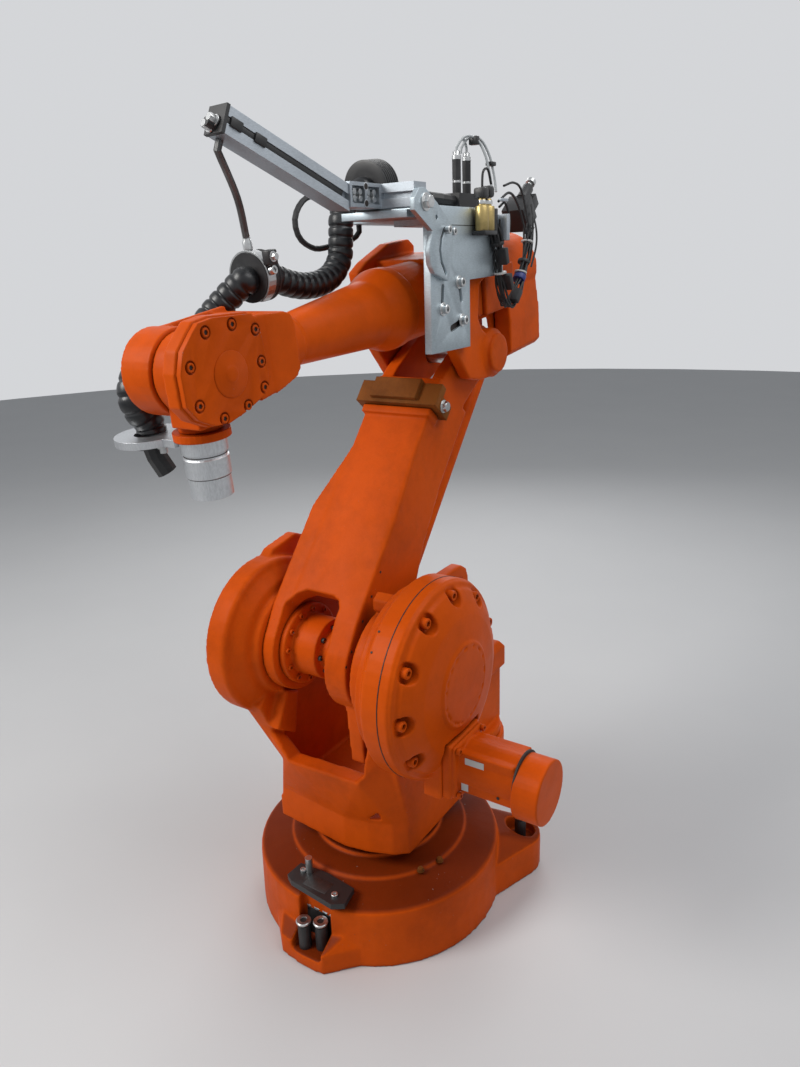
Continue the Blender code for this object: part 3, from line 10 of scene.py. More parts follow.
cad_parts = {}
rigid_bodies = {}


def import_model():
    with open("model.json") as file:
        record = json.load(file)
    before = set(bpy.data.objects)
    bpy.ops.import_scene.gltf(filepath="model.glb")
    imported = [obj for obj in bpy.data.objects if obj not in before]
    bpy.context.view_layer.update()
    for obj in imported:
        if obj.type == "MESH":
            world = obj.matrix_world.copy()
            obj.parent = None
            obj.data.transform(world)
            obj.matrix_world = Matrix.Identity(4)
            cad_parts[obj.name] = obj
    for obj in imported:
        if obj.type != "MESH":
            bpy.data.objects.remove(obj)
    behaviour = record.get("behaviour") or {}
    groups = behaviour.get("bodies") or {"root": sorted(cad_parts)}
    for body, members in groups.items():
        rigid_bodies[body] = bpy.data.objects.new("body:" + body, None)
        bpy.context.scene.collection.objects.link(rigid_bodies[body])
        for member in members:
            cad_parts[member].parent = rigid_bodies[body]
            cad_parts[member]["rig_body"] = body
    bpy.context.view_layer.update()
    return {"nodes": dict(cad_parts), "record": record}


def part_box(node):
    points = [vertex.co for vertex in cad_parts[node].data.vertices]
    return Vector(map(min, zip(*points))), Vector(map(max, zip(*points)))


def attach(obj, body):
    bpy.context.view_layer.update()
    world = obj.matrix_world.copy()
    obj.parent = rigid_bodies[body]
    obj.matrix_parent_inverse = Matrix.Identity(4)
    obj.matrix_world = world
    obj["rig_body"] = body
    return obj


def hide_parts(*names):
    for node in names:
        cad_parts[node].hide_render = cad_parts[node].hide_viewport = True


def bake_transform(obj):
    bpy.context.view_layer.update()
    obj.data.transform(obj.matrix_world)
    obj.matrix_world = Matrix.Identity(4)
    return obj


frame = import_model()

# Sizes shared with the solids
GAP = 0.0003
AXIS2 = Vector((0.100, 0, 0.615))
LOWER_ARM = 0.705
ELBOW_RISE = 0.135
FOREARM = 0.755
LEAN_BACK, FOREARM_DIP, WRIST_BEND = 40.4, 6.4, 88.7
GEAR_START = 0.1533
GEAR_END = GEAR_START + 0.130
HOSE_R = 0.024

# Camera of the photograph
CAMERA_AT = Vector((1.2587, 0.9236, 1.3471))
CAMERA_YAW, CAMERA_PITCH, CAMERA_ROLL = -146.34, 18.4, -2.16
CAMERA_LENS = 36.9

# Directions: out of the near side, upward, and the way the arm reaches
OUT, UP, AHEAD = (0, 1, 0), (0, 0, 1), (1, 0, 0)

# Sizes of the details, the same as in the solids where both show one form
GEAR_RING_W = 0.084
SEAM_Y = 0.062
EAR_SIDE = 0.0862
BOLT_CIRCLE_R = 0.163
BOLT_COUNT = 11
BOLT_FIRST = 95.0
HUB_END = -0.0180
ARM_FACE = 0.1073
BRACKET_Z = 0.511
MOTOR_Z = AXIS2.z - 0.157
MOTOR_HALF = 0.041
MOTOR_FLANGE_HALF = 0.056
MOTOR_CAP_Z = MOTOR_Z - 0.013
MOTOR_CAP_R = 0.060
MOTOR_SEAT = 0.262
MOTOR_END = 0.450
PLATE_FACE = 0.1228
CRESCENT_FACE = 0.1331
TRAY_TOP = 0.2873
CROSS_END_Y = 0.055
CROSS_Z = TRAY_TOP + GAP + 0.016
LONG_LENGTH = 0.274
LONG = (Matrix.Translation((0.405, 0.034, CROSS_Z - 0.011)) @ Matrix.Rotation(math.radians(-8), 4, "Z")
        @ Matrix.Rotation(math.radians(-22), 4, "Y"))
HOSE_LEAD = 0.014
HOSE_PITCH = 0.0185
HOSE_GROOVE = 0.0026
CLAMP_AT = Vector((0.150, -0.062, 0.352))
SADDLE_AT = Vector((0.505, -0.073, 0.236))
RING_AT = Vector((FOREARM + 0.0024, -0.113, ELBOW_RISE - 0.105 + 0.006 + 4 * GAP))
VALVE_Y = 0.079
COIL_PLACES = (0.111, 0.086)
LEVER_RING_FACE = -0.0775
LEVER_BOLT_R = 0.073
HUB_BOLT_R = 0.046
EAR_HOLE_X = 0.092
NOTCH_FACE = 0.2455
NOTCH_TOP = 0.1005
STUD_CIRCLE_R = 0.196
BASE_SHOULDER_Z = 0.1535
ADAPTER_START = 0.085 + 0.012 + GAP
# The near wrist cover's face, and its screws from the wrist's centre
COVER_FACE = 0.0833
WRIST_SCREWS = ((0.036, 0.067), (-0.016, 0.068), (-0.061, 0.052), (-0.063, 0.005), (-0.061, -0.033),
                (-0.021, -0.050), (0.030, -0.055), (0.071, -0.026), (0.074, 0.028))


def turn_y(degrees):
    return Matrix.Rotation(math.radians(degrees), 4, "Y")


LOWER = Matrix.Translation(AXIS2) @ turn_y(-LEAN_BACK)
ELBOW = LOWER @ Vector((0, 0, LOWER_ARM))
UPPER = Matrix.Translation(ELBOW) @ turn_y(FOREARM_DIP)
DRESS = Matrix.Translation(ELBOW)
FORE = UPPER @ Matrix.Translation((0, 0, ELBOW_RISE))
WRIST = FORE @ Matrix.Translation((FOREARM, 0, 0))
TILT = WRIST @ turn_y(WRIST_BEND)
WORLD = Matrix.Identity(4)


# Materials
class Nodes:
    """A short way to write a material's nodes."""

    def __init__(self, name):
        self.material = bpy.data.materials.new(name)
        self.material.use_nodes = True
        self.tree = self.material.node_tree
        self.shader = self.tree.nodes["Principled BSDF"]
        self.place = self.tree.nodes.new("ShaderNodeTexCoord").outputs["Object"]

    def add(self, kind, values=None, **attributes):
        node = self.tree.nodes.new("ShaderNode" + kind)
        for key, value in attributes.items():
            setattr(node, key, value)
        for key, value in (values or {}).items():
            if isinstance(value, bpy.types.NodeSocket):
                self.tree.links.new(value, node.inputs[key])
            else:
                node.inputs[key].default_value = value
        return node

    def stretch(self, scale):
        return self.add("Mapping", {"Vector": self.place, "Scale": scale}).outputs[0]

    def noise(self, scale, detail=4.0, rough=0.55, where=None):
        values = {"Vector": where or self.place, "Scale": scale, "Detail": detail, "Roughness": rough}
        return self.add("TexNoise", values).outputs["Fac"]

    def ramp(self, value, low, high):
        """0 below low, 1 above high."""
        values = {"Value": value, "From Min": low, "From Max": high, "To Min": 0.0, "To Max": 1.0}
        return self.add("MapRange", values).outputs[0]

    def math(self, operation, a, b=0.0):
        return self.add("Math", {0: a, 1: b}, operation=operation).outputs[0]

    def mix(self, factor, a, b):
        node = self.add("Mix", data_type="RGBA")
        for index, value in ((0, factor), (6, a), (7, b)):
            if isinstance(value, bpy.types.NodeSocket):
                self.tree.links.new(value, node.inputs[index])
            elif index == 0:
                node.inputs[index].default_value = value
            else:
                node.inputs[index].default_value = (*value, 1.0)
        return node.outputs[2]

    def edges(self, radius, low=0.02, high=0.25):
        """1 along outer and inner edges, 0 on flat faces."""
        round_normal = self.add("Bevel", {"Radius": radius}, samples=4).outputs[0]
        normal = self.add("NewGeometry").outputs["Normal"]
        dot = self.add("VectorMath", {0: round_normal, 1: normal}, operation="DOT_PRODUCT").outputs["Value"]
        return self.ramp(self.math("SUBTRACT", 1.0, dot), low, high)

    def crevices(self, distance):
        """1 in corners, 0 in the open."""
        shade = self.add("AmbientOcclusion", {"Distance": distance}, samples=6).outputs["AO"]
        return self.math("SUBTRACT", 1.0, shade)

    def bump(self, height, strength, distance, rounding=0.0):
        values = {"Height": height, "Strength": strength, "Distance": distance}
        if rounding:
            values["Normal"] = self.add("Bevel", {"Radius": rounding}, samples=4).outputs[0]
        self.link("Normal", self.add("Bump", values).outputs[0])

    def link(self, socket, value):
        if isinstance(value, bpy.types.NodeSocket):
            self.tree.links.new(value, self.shader.inputs[socket])
        elif socket == "Base Color":
            self.shader.inputs[socket].default_value = (*value, 1.0)
        else:
            self.shader.inputs[socket].default_value = value


ORANGE = (0.680, 0.092, 0.003)
ORANGE_DEEP = (0.330, 0.032, 0.002)
# Dark colour for oily dirt, and for the painted shade in corners
OIL_AND_SHADE = (0.024, 0.008, 0.003)
TOP_DARK_RED = (0.085, 0.010, 0.002)
PRIMER = (0.090, 0.060, 0.045)
BARE = (0.42, 0.40, 0.37)


def paint(name, base=ORANGE, deep=ORANGE_DEEP, oil=0.25, chips=0.5, grain=0.5, gloss=0.36, rounding=0.004,
          film=0.0):
    """Worn gloss paint: cloudy colour, oily dirt and painted shade in corners, darker upward faces, chipped
    edges and a cast grain.
    """
    n = Nodes(name)
    cloud = n.ramp(n.noise(3.2, 3.0), 0.35, 0.70)
    mottle = n.ramp(n.noise(38.0, 5.0, 0.65), 0.40, 0.75)
    colour = n.mix(n.math("MULTIPLY", cloud, 0.32), base, deep)
    colour = n.mix(n.math("MULTIPLY", mottle, 0.15), colour, deep)
    dirt = n.ramp(n.noise(7.0, 6.0, 0.7), 0.46, 0.72)
    # Ambient occlusion darkens corners and crevices toward the dark colour: painted shade, added to the oily
    # dirt
    corner_shade = n.ramp(n.crevices(0.045), 0.35, 0.95)
    dirt_and_corner_shade = n.math("ADD", n.math("MULTIPLY", dirt, oil), n.math("MULTIPLY", corner_shade, 0.55))
    colour = n.mix(n.math("MINIMUM", dirt_and_corner_shade, 0.92), colour, OIL_AND_SHADE)
    # Upward faces are darkened toward a dark red, by the amount film gives
    if film:
        upward = n.add("SeparateXYZ", {0: n.add("NewGeometry").outputs["Normal"]}).outputs["Z"]
        colour = n.mix(n.math("MULTIPLY", n.ramp(upward, 0.55, 0.92), film), colour, TOP_DARK_RED)
    edge = n.edges(0.0028)
    broken = n.ramp(n.noise(90.0, 6.0, 0.75), 0.62 - 0.12 * chips, 0.66 - 0.12 * chips)
    patch = n.ramp(n.noise(9.0, 2.0), 0.48, 0.60)
    chip = n.math("MULTIPLY", n.math("MULTIPLY", edge, broken), patch)
    speck = n.ramp(n.noise(160.0, 3.0, 0.6), 0.745 - 0.02 * chips, 0.765 - 0.02 * chips)
    chip = n.math("MAXIMUM", chip, n.math("MULTIPLY", speck, chips))
    colour = n.mix(chip, colour, n.mix(n.ramp(n.noise(45.0), 0.45, 0.6), PRIMER, BARE))
    n.link("Base Color", colour)
    rough = n.math("ADD", gloss, n.math("MULTIPLY", n.noise(22.0, 4.0), 0.22))
    n.link("Roughness", n.math("ADD", rough, n.math("MULTIPLY", chip, 0.2)))
    n.link("Specular IOR Level", 0.07)
    height = n.math("ADD", n.math("MULTIPLY", n.noise(240.0, 3.0, 0.6), grain), n.noise(28.0, 3.0))
    height = n.math("SUBTRACT", height, n.math("MULTIPLY", chip, 0.5))
    n.bump(height, 0.55, 0.0010, rounding)
    return n.material


def metal(name, colour, rough, streak=(1, 1, 1), dull=0.3, rounding=0.0006, metallic=1.0, dark=0.5,
          strength=0.15):
    """Ground or drawn metal with streaks along one direction and dull patches."""
    n = Nodes(name)
    lines = n.noise(140.0, 4.0, 0.6, n.stretch(streak))
    stain = n.ramp(n.noise(14.0, 5.0, 0.65), 0.45, 0.75)
    shade = tuple(c * dark for c in colour)
    tone = n.math("ADD", n.math("MULTIPLY", n.ramp(lines, 0.35, 0.70), 0.35), n.math("MULTIPLY", stain, dull))
    n.link("Base Color", n.mix(tone, colour, shade))
    n.link("Metallic", metallic)
    n.link("Roughness", n.math("ADD", rough, n.math("MULTIPLY", n.math("ADD", lines, stain), 0.10)))
    n.bump(lines, strength, 0.0004, rounding)
    return n.material


def plastic(name, colour, rough, dust=0.25, scale=60.0, rounding=0.0008, bump=0.2):
    """Black plastic or rubber with pale dust."""
    n = Nodes(name)
    film = n.ramp(n.noise(11.0, 6.0, 0.7), 0.50, 0.80)
    pale = tuple(min(1.0, c + 0.10) for c in colour)
    n.link("Base Color", n.mix(n.math("MULTIPLY", film, dust), colour, pale))
    n.link("Roughness", n.math("ADD", rough, n.math("MULTIPLY", film, 0.2)))
    n.bump(n.noise(scale, 4.0), bump, 0.0006, rounding)
    return n.material


PAINT = paint("orange_casting")
BASE_PAINT = paint("orange_base", oil=0.22, chips=0.85, grain=0.8, film=0.82)
SMOOTH_PAINT = paint("orange_smooth", oil=0.18, chips=0.4, grain=0.2, gloss=0.30, rounding=0.003)
BRACKET = paint("bracket_brown", (0.26, 0.085, 0.016), (0.13, 0.040, 0.010), 0.5, 0.7, 0.6, 0.42, 0.004)
STEEL = metal("bright_steel", (0.60, 0.61, 0.61), 0.24)
PLATE = metal("zinc_plate", (0.50, 0.57, 0.61), 0.40, (1, 1, 6), 0.30, 0.0012)
ALUMINIUM = metal("aluminium", (0.70, 0.72, 0.74), 0.34, (1, 6, 1), 0.3)
PROFILE_METAL = metal("anodised_profile", (0.46, 0.50, 0.54), 0.42, (0.6, 6, 6), 0.25, 0.0008)
BRASS = metal("yellow_zinc", (0.50, 0.38, 0.16), 0.34, (1, 1, 1), 0.4)
DARK_STEEL = metal("dark_steel", (0.10, 0.10, 0.10), 0.42)
# Dark colour for real seams, and also for painted shade in holes, sockets and behind slots
SEAM_AND_SHADE = plastic("dark_seam_and_shade", (0.012, 0.006, 0.004), 0.6, 0.1)
CLEAR_TUBE = plastic("pale_tube", (0.42, 0.44, 0.45), 0.30, 0.2, 40.0, 0.0, 0.05)
BRAID = metal("braided_hanger", (0.16, 0.16, 0.16), 0.40, (3, 3, 1), 0.5, 0.0, 0.7, 0.25, 0.6)
WHITE_TIE = plastic("pale_tie", (0.55, 0.55, 0.54), 0.40, 0.2)
BLUE_TIE = plastic("blue_tape", (0.010, 0.022, 0.16), 0.45, 0.2)
BLACK = plastic("black_plastic", (0.014, 0.014, 0.015), 0.42)
RUBBER = plastic("black_rubber", (0.012, 0.012, 0.013), 0.55, 0.35, 90.0, 0.0006, 0.3)
HOSE = plastic("ribbed_hose", (0.006, 0.007, 0.009), 0.34, 0.22, 120.0, 0.0, 0.15)

NODE_LOOKS = {"base_casting": BASE_PAINT, "arm_bracket": BRACKET, "dress_plate": PLATE,
              "crescent_arm": ALUMINIUM, "profile_cross": PROFILE_METAL, "profile_long": PROFILE_METAL,
              "gear_unit_near": SMOOTH_PAINT, "axis2_motor": SMOOTH_PAINT, "wrist_fork": SMOOTH_PAINT,
              "wrist_cover": SMOOTH_PAINT, "forearm_tube": SMOOTH_PAINT, "tilt_housing": SMOOTH_PAINT,
              "hanger_strap": BRAID}
SLOT_LOOKS = {"orange_paint": PAINT, "bracket_paint": BRACKET, "black_plastic": BLACK, "black_rubber": RUBBER,
              "aluminium": ALUMINIUM, "steel": STEEL, "brass": BRASS, "dark_steel": DARK_STEEL}
slots = {part["node"]: part["material_slot"] for part in frame["record"]["subparts"]}
for node, made in frame["nodes"].items():
    made.data.materials.clear()
    made.data.materials.append(NODE_LOOKS.get(node) or SLOT_LOOKS[slots[node]])


# Shapes
def mesh_of(builder):
    mesh = bpy.data.meshes.new("shape")
    shape = bmesh.new()
    builder(shape)
    shape.to_mesh(mesh)
    shape.free()
    return mesh


def show(name, mesh, finish, body, place=WORLD, sharp=40):
    """A mesh as a piece of the robot, on a body and with a finish."""
    mesh.transform(place)
    mesh.materials.clear()
    mesh.materials.append(finish)
    mesh.shade_smooth()
    mesh.set_sharp_from_angle(angle=math.radians(sharp))
    made = bpy.data.objects.new(name, mesh)
    bpy.context.scene.collection.objects.link(made)
    if body:
        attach(made, body)
    return made


def join(meshes):
    """Several meshes as one."""
    def build(shape):
        for mesh in meshes:
            shape.from_mesh(mesh)
    return mesh_of(build)


def block(low, high, bevel=0.0, segments=2):
    low, high = Vector(low), Vector(high)

    def build(shape):
        bmesh.ops.create_cube(shape, size=1.0)
        bmesh.ops.scale(shape, vec=high - low, verts=shape.verts)
        bmesh.ops.translate(shape, vec=(low + high) / 2, verts=shape.verts)
        if bevel:
            bmesh.ops.bevel(shape, geom=list(shape.edges), offset=bevel, segments=segments, affect="EDGES",
                            profile=0.5)
    return mesh_of(build)


def aim(at, direction):
    """A place at a point with its z axis along a direction."""
    return Matrix.Translation(at) @ Vector(direction).to_track_quat("Z", "Y").to_matrix().to_4x4()


def lathe(rings, sides=32, shapes=()):
    """A closed turned solid from (radius, height) rings, low to high. shapes names the hexagonal ones."""
    def radius(k, number, angle):
        if k not in shapes:
            return number
        return number * math.cos(math.pi / 6) / math.cos((angle % (math.pi / 3)) - math.pi / 6)

    def build(shape):
        rows = []
        for k, (number, height) in enumerate(rings):
            row = []
            for i in range(sides):
                angle = 2 * math.pi * i / sides
                far = radius(k, number, angle)
                row.append(shape.verts.new((far * math.cos(angle), far * math.sin(angle), height)))
            rows.append(row)
        for low, high in zip(rows, rows[1:]):
            for i in range(sides):
                j = (i + 1) % sides
                shape.faces.new((low[i], low[j], high[j], high[i]))
        shape.faces.new(rows[0][::-1])
        shape.faces.new(rows[-1])
    return mesh_of(build)


def moved(mesh, place):
    mesh.transform(place)
    return mesh


def turned(at, direction, rings, sides=32, shapes=()):
    """A turned solid that stands on a point."""
    return moved(lathe(rings, sides, shapes), aim(at, direction))


def cap_screw(at, direction, radius, height):
    """A socket head cap screw, standing on a point."""
    hexagon = radius * 0.58
    rings = [(radius, 0), (radius, height * 0.88), (radius * 0.90, height), (hexagon, height),
             (hexagon, height * 0.45), (hexagon * 0.3, height * 0.36)]
    return turned(at, direction, rings, 24, (3, 4))


def hex_screw(at, direction, radius, height, washer=0.0):
    """A hexagon head screw, with a washer under it."""
    parts = []
    base = 0.0
    if washer:
        base = height * 0.25
        parts.append(lathe([(radius * washer, 0), (radius * washer, base * 0.8),
                            (radius * washer * 0.96, base)], 24))
    parts.append(lathe([(radius, base), (radius, base + height * 0.85), (radius * 0.84, base + height),
                        (radius * 0.3, base + height)], 24, (0, 1)))
    return moved(join(parts), aim(at, direction))


def smooth_route(points, spacing):
    """Points at even steps along a smooth curve through the route's own points."""
    points = [Vector(p) for p in points]
    padded = [2 * points[0] - points[1], *points, 2 * points[-1] - points[-2]]
    dense = []
    for a, b, c, d in zip(padded, padded[1:], padded[2:], padded[3:]):
        for t in np.linspace(0, 1, 24, endpoint=False):
            dense.append(0.5 * ((2 * b) + (c - a) * t + (2 * a - 5 * b + 4 * c - d) * t ** 2
                                + (3 * b - a - 3 * c + d) * t ** 3))
    dense.append(points[-1])
    lengths = np.concatenate([[0], np.cumsum([(b - a).length for a, b in zip(dense, dense[1:])])])
    wanted = np.linspace(0, lengths[-1], max(3, int(round(lengths[-1] / spacing)) + 1))
    table = np.array([list(p) for p in dense])
    return [Vector([np.interp(s, lengths, table[:, i]) for i in range(3)]) for s in wanted]


def sweep(points, radius_at, sides=16):
    """A closed tube along points. radius_at gives the radius at a distance along it."""
    def build(shape):
        reach, rows = 0.0, []
        side = None
        for i, point in enumerate(points):
            ahead = (points[min(i + 1, len(points) - 1)] - points[max(i - 1, 0)]).normalized()
            if side is None:
                side = ahead.orthogonal().normalized()
            side = (side - ahead * side.dot(ahead)).normalized()
            up = ahead.cross(side)
            if i:
                reach += (point - points[i - 1]).length
            far = radius_at(reach)
            rows.append([shape.verts.new(point + far * (math.cos(a) * side + math.sin(a) * up))
                         for a in np.linspace(0, 2 * math.pi, sides, endpoint=False)])
        for low, high in zip(rows, rows[1:]):
            for i in range(sides):
                j = (i + 1) % sides
                shape.faces.new((low[i], low[j], high[j], high[i]))
        shape.faces.new(rows[0][::-1])
        shape.faces.new(rows[-1])
    return mesh_of(build)


def wire(points, radius, sides=10, spacing=0.008):
    return sweep(smooth_route(points, spacing), lambda reach: radius, sides)


def evaluated(holder):
    made = bpy.data.meshes.new_from_object(holder.evaluated_get(bpy.context.evaluated_depsgraph_get()))
    bpy.data.objects.remove(holder, do_unlink=True)
    return made


def holder_of(mesh):
    made = bpy.data.objects.new("work", mesh)
    bpy.context.scene.collection.objects.link(made)
    return made


def cut(mesh, cutters):
    """The mesh with other meshes cut from it."""
    holder = holder_of(mesh)
    tools = []
    for number, cutter in enumerate(cutters):
        tool = holder_of(cutter)
        tools.append(tool)
        step = holder.modifiers.new(f"cut_{number}", "BOOLEAN")
        step.operation = "DIFFERENCE"
        step.solver = "EXACT"
        step.object = tool
    made = evaluated(holder)
    for tool in tools:
        bpy.data.objects.remove(tool, do_unlink=True)
    return made


def soften(node, finish, voxel, passes=3, extras=(), cutters=(), keep=0.5):
    """A CAD casting with rounded edges and filleted corners, and with small forms that grow out of it."""
    source = frame["nodes"][node]
    mesh = source.data.copy()
    if cutters:
        mesh = cut(mesh, cutters)
    mesh = join([mesh, *extras])
    holder = holder_of(mesh)
    remesh = holder.modifiers.new("remesh", "REMESH")
    remesh.mode = "VOXEL"
    remesh.voxel_size = voxel
    settle = holder.modifiers.new("smooth", "SMOOTH")
    settle.factor = 0.5
    settle.iterations = passes
    if keep < 1:
        thin = holder.modifiers.new("thin", "DECIMATE")
        thin.ratio = keep
    made = show(node + "_cast", evaluated(holder), finish, source["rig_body"], sharp=75)
    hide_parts(node)
    return made


def rounded(node, finish, width, cutters=(), segments=2):
    """A CAD piece with its edges broken, and with slots or holes cut from it."""
    source = frame["nodes"][node]
    mesh = source.data.copy()
    if cutters:
        mesh = cut(mesh, cutters)
    holder = holder_of(mesh)
    broken = holder.modifiers.new("broken", "BEVEL")
    broken.width = width
    broken.segments = segments
    broken.limit_method = "ANGLE"
    broken.angle_limit = math.radians(32)
    made = show(node + "_made", evaluated(holder), finish, source["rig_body"], sharp=28)
    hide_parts(node)
    return made


def slab(outline, low, high, across="y"):
    """A flat shape with a thickness, between two planes."""
    def place(a, b, level):
        return {"x": (level, a, b), "y": (a, level, b), "z": (a, b, level)}[across]

    def build(shape):
        rows = [[shape.verts.new(place(a, b, level)) for a, b in outline] for level in (low, high)]
        count = len(outline)
        for i in range(count):
            j = (i + 1) % count
            shape.faces.new((rows[0][i], rows[0][j], rows[1][j], rows[1][i]))
        shape.faces.new(rows[0][::-1])
        shape.faces.new(rows[1])
        bmesh.ops.recalc_face_normals(shape, faces=shape.faces)
    return mesh_of(build)


def slot_outline(points, radius, steps=7):
    """The outline of a slot with round ends along a line of points."""
    points = [np.array(p, float) for p in points]
    left, right = [], []
    for i, point in enumerate(points):
        ahead = points[min(i + 1, len(points) - 1)] - points[max(i - 1, 0)]
        ahead = ahead / np.linalg.norm(ahead)
        side = np.array((-ahead[1], ahead[0]))
        left.append(point + side * radius)
        right.append(point - side * radius)

    def cap(centre, start):
        arm = start - centre
        turns = [-math.pi * k / steps for k in range(1, steps)]
        return [centre + np.array((arm[0] * math.cos(t) - arm[1] * math.sin(t),
                                   arm[0] * math.sin(t) + arm[1] * math.cos(t))) for t in turns]
    return [tuple(p) for p in left + cap(points[-1], left[-1]) + right[::-1] + cap(points[0], right[0])]


# Camera, floor and light
def set_camera():
    yaw, pitch, roll = (math.radians(a) for a in (CAMERA_YAW, CAMERA_PITCH, CAMERA_ROLL))
    ahead = Vector((math.cos(yaw) * math.cos(pitch), math.sin(yaw) * math.cos(pitch), -math.sin(pitch)))
    right = Vector((math.sin(yaw), -math.cos(yaw), 0))
    up = right.cross(ahead)
    right, up = (math.cos(roll) * right + math.sin(roll) * up, math.cos(roll) * up - math.sin(roll) * right)
    lens = bpy.data.cameras.new("camera")
    lens.sensor_fit = "HORIZONTAL"
    lens.sensor_width = 36.0
    lens.lens = CAMERA_LENS
    camera = bpy.data.objects.new("camera", lens)
    camera.matrix_world = Matrix((
        (right.x, up.x, -ahead.x, CAMERA_AT.x), (right.y, up.y, -ahead.y, CAMERA_AT.y),
        (right.z, up.z, -ahead.z, CAMERA_AT.z), (0, 0, 0, 1)))
    bpy.context.scene.collection.objects.link(camera)
    bpy.context.scene.camera = camera


def area_light(name, at, size, power, colour=(1, 1, 1)):
    lamp = bpy.data.lights.new(name, "AREA")
    lamp.shape = "DISK"
    lamp.size = size
    lamp.energy = power
    lamp.color = colour
    made = bpy.data.objects.new(name, lamp)
    made.location = at
    made.rotation_euler = (Vector((0, 0, 0.8)) - Vector(at)).to_track_quat("-Z", "Y").to_euler()
    bpy.context.scene.collection.objects.link(made)


def set_stage():
    floor_mesh = mesh_of(lambda shape: bmesh.ops.create_circle(shape, cap_ends=True, radius=9.0, segments=64))
    floor = bpy.data.objects.new("floor", floor_mesh)
    bpy.context.scene.collection.objects.link(floor)
    floor.location.z = -0.0005
    n = Nodes("pale_floor")
    n.link("Base Color", n.mix(n.noise(2.0, 3.0), (0.60, 0.60, 0.61), (0.64, 0.64, 0.645)))
    n.link("Roughness", 0.8)
    floor_mesh.materials.append(n.material)
    world = bpy.data.worlds.new("room")
    world.use_nodes = True
    tree = world.node_tree
    ground = tree.nodes["Background"]
    ground.inputs["Color"].default_value = (0.90, 0.95, 1.0, 1.0)
    ground.inputs["Strength"].default_value = 0.26
    shown = tree.nodes.new("ShaderNodeBackground")
    shown.inputs["Color"].default_value = (0.66, 0.67, 0.69, 1.0)
    path = tree.nodes.new("ShaderNodeLightPath")
    blend = tree.nodes.new("ShaderNodeMixShader")
    seen = path.outputs["Is Camera Ray"]
    for kind in ("Is Glossy Ray", "Is Transmission Ray"):
        either = tree.nodes.new("ShaderNodeMath")
        either.operation = "MAXIMUM"
        tree.links.new(seen, either.inputs[0])
        tree.links.new(path.outputs[kind], either.inputs[1])
        seen = either.outputs[0]
    tree.links.new(seen, blend.inputs[0])
    tree.links.new(ground.outputs[0], blend.inputs[1])
    tree.links.new(shown.outputs[0], blend.inputs[2])
    tree.links.new(blend.outputs[0], tree.nodes["World Output"].inputs["Surface"])
    bpy.context.scene.world = world
    area_light("window", (2.2, -1.5, 2.8), 1.6, 78, (1.0, 0.98, 0.95))
    area_light("ceiling", (-0.4, 1.6, 3.4), 2.4, 45)
    area_light("far_side", (-2.6, -1.2, 2.2), 2.0, 25)
    bpy.context.scene.view_settings.view_transform = "Standard"


def near_unit():
    """The near gear unit: a ring, a dome with scalloped bolt pockets, and a flat cap."""
    bolts = []
    for number in range(BOLT_COUNT):
        angle = math.radians(BOLT_FIRST + 360 * number / BOLT_COUNT)
        x, z = AXIS2.x + BOLT_CIRCLE_R * math.cos(angle), AXIS2.z + BOLT_CIRCLE_R * math.sin(angle)
        if z > MOTOR_Z + MOTOR_HALF + 0.035 or abs(x - AXIS2.x) > 0.089:
            bolts.append(cap_screw((x, GEAR_START + GEAR_RING_W + 0.0035, z), OUT, 0.0098, 0.013))
    small = turned((0.122, 0.262, 0.690), (0, 1, 0.1), [(0.009, 0), (0.009, 0.010), (0.006, 0.014)], 16)
    wedge = moved(block((-0.012, -0.009, 0), (0.012, 0.009, 0.016), 0.003),
                  Matrix.Translation((0.174, 0.246, 0.560)) @ Matrix.Rotation(math.radians(-90), 4, "X")
                  @ Matrix.Rotation(math.radians(-25), 4, "Z"))
    floor_at = (AXIS2.x, GEAR_END - 0.0035, AXIS2.z)
    groove = cut(turned(floor_at, OUT, [(0.0735, 0), (0.0735, 0.01)], 48),
                 [turned(floor_at, OUT, [(0.0695, -0.01), (0.0695, 0.02)], 48)])
    soften("gear_unit_near", SMOOTH_PAINT, 0.0022, 2, [small, wedge], [groove], keep=0.25)
    show("near_unit_bolts", join(bolts), SMOOTH_PAINT, "frame")
    rings = [(0.1845, 0.0), (0.1886, 0.0), (0.1886, 0.0016), (0.1845, 0.0016)]
    seam = turned((AXIS2.x, GEAR_START + SEAM_Y, AXIS2.z), OUT, rings, 72)
    show("near_unit_seam", seam, SEAM_AND_SHADE, "frame")
    marks = [turned(AXIS2 + Vector((0.1875 * math.cos(a), GEAR_START + 0.034, 0.1875 * math.sin(a))),
                    (math.cos(a), 0, math.sin(a)), [(0.0022, 0), (0.0020, 0.0012)], 10) for a in (0.62, 0.82)]
    show("near_unit_marks", join(marks), SEAM_AND_SHADE, "frame")


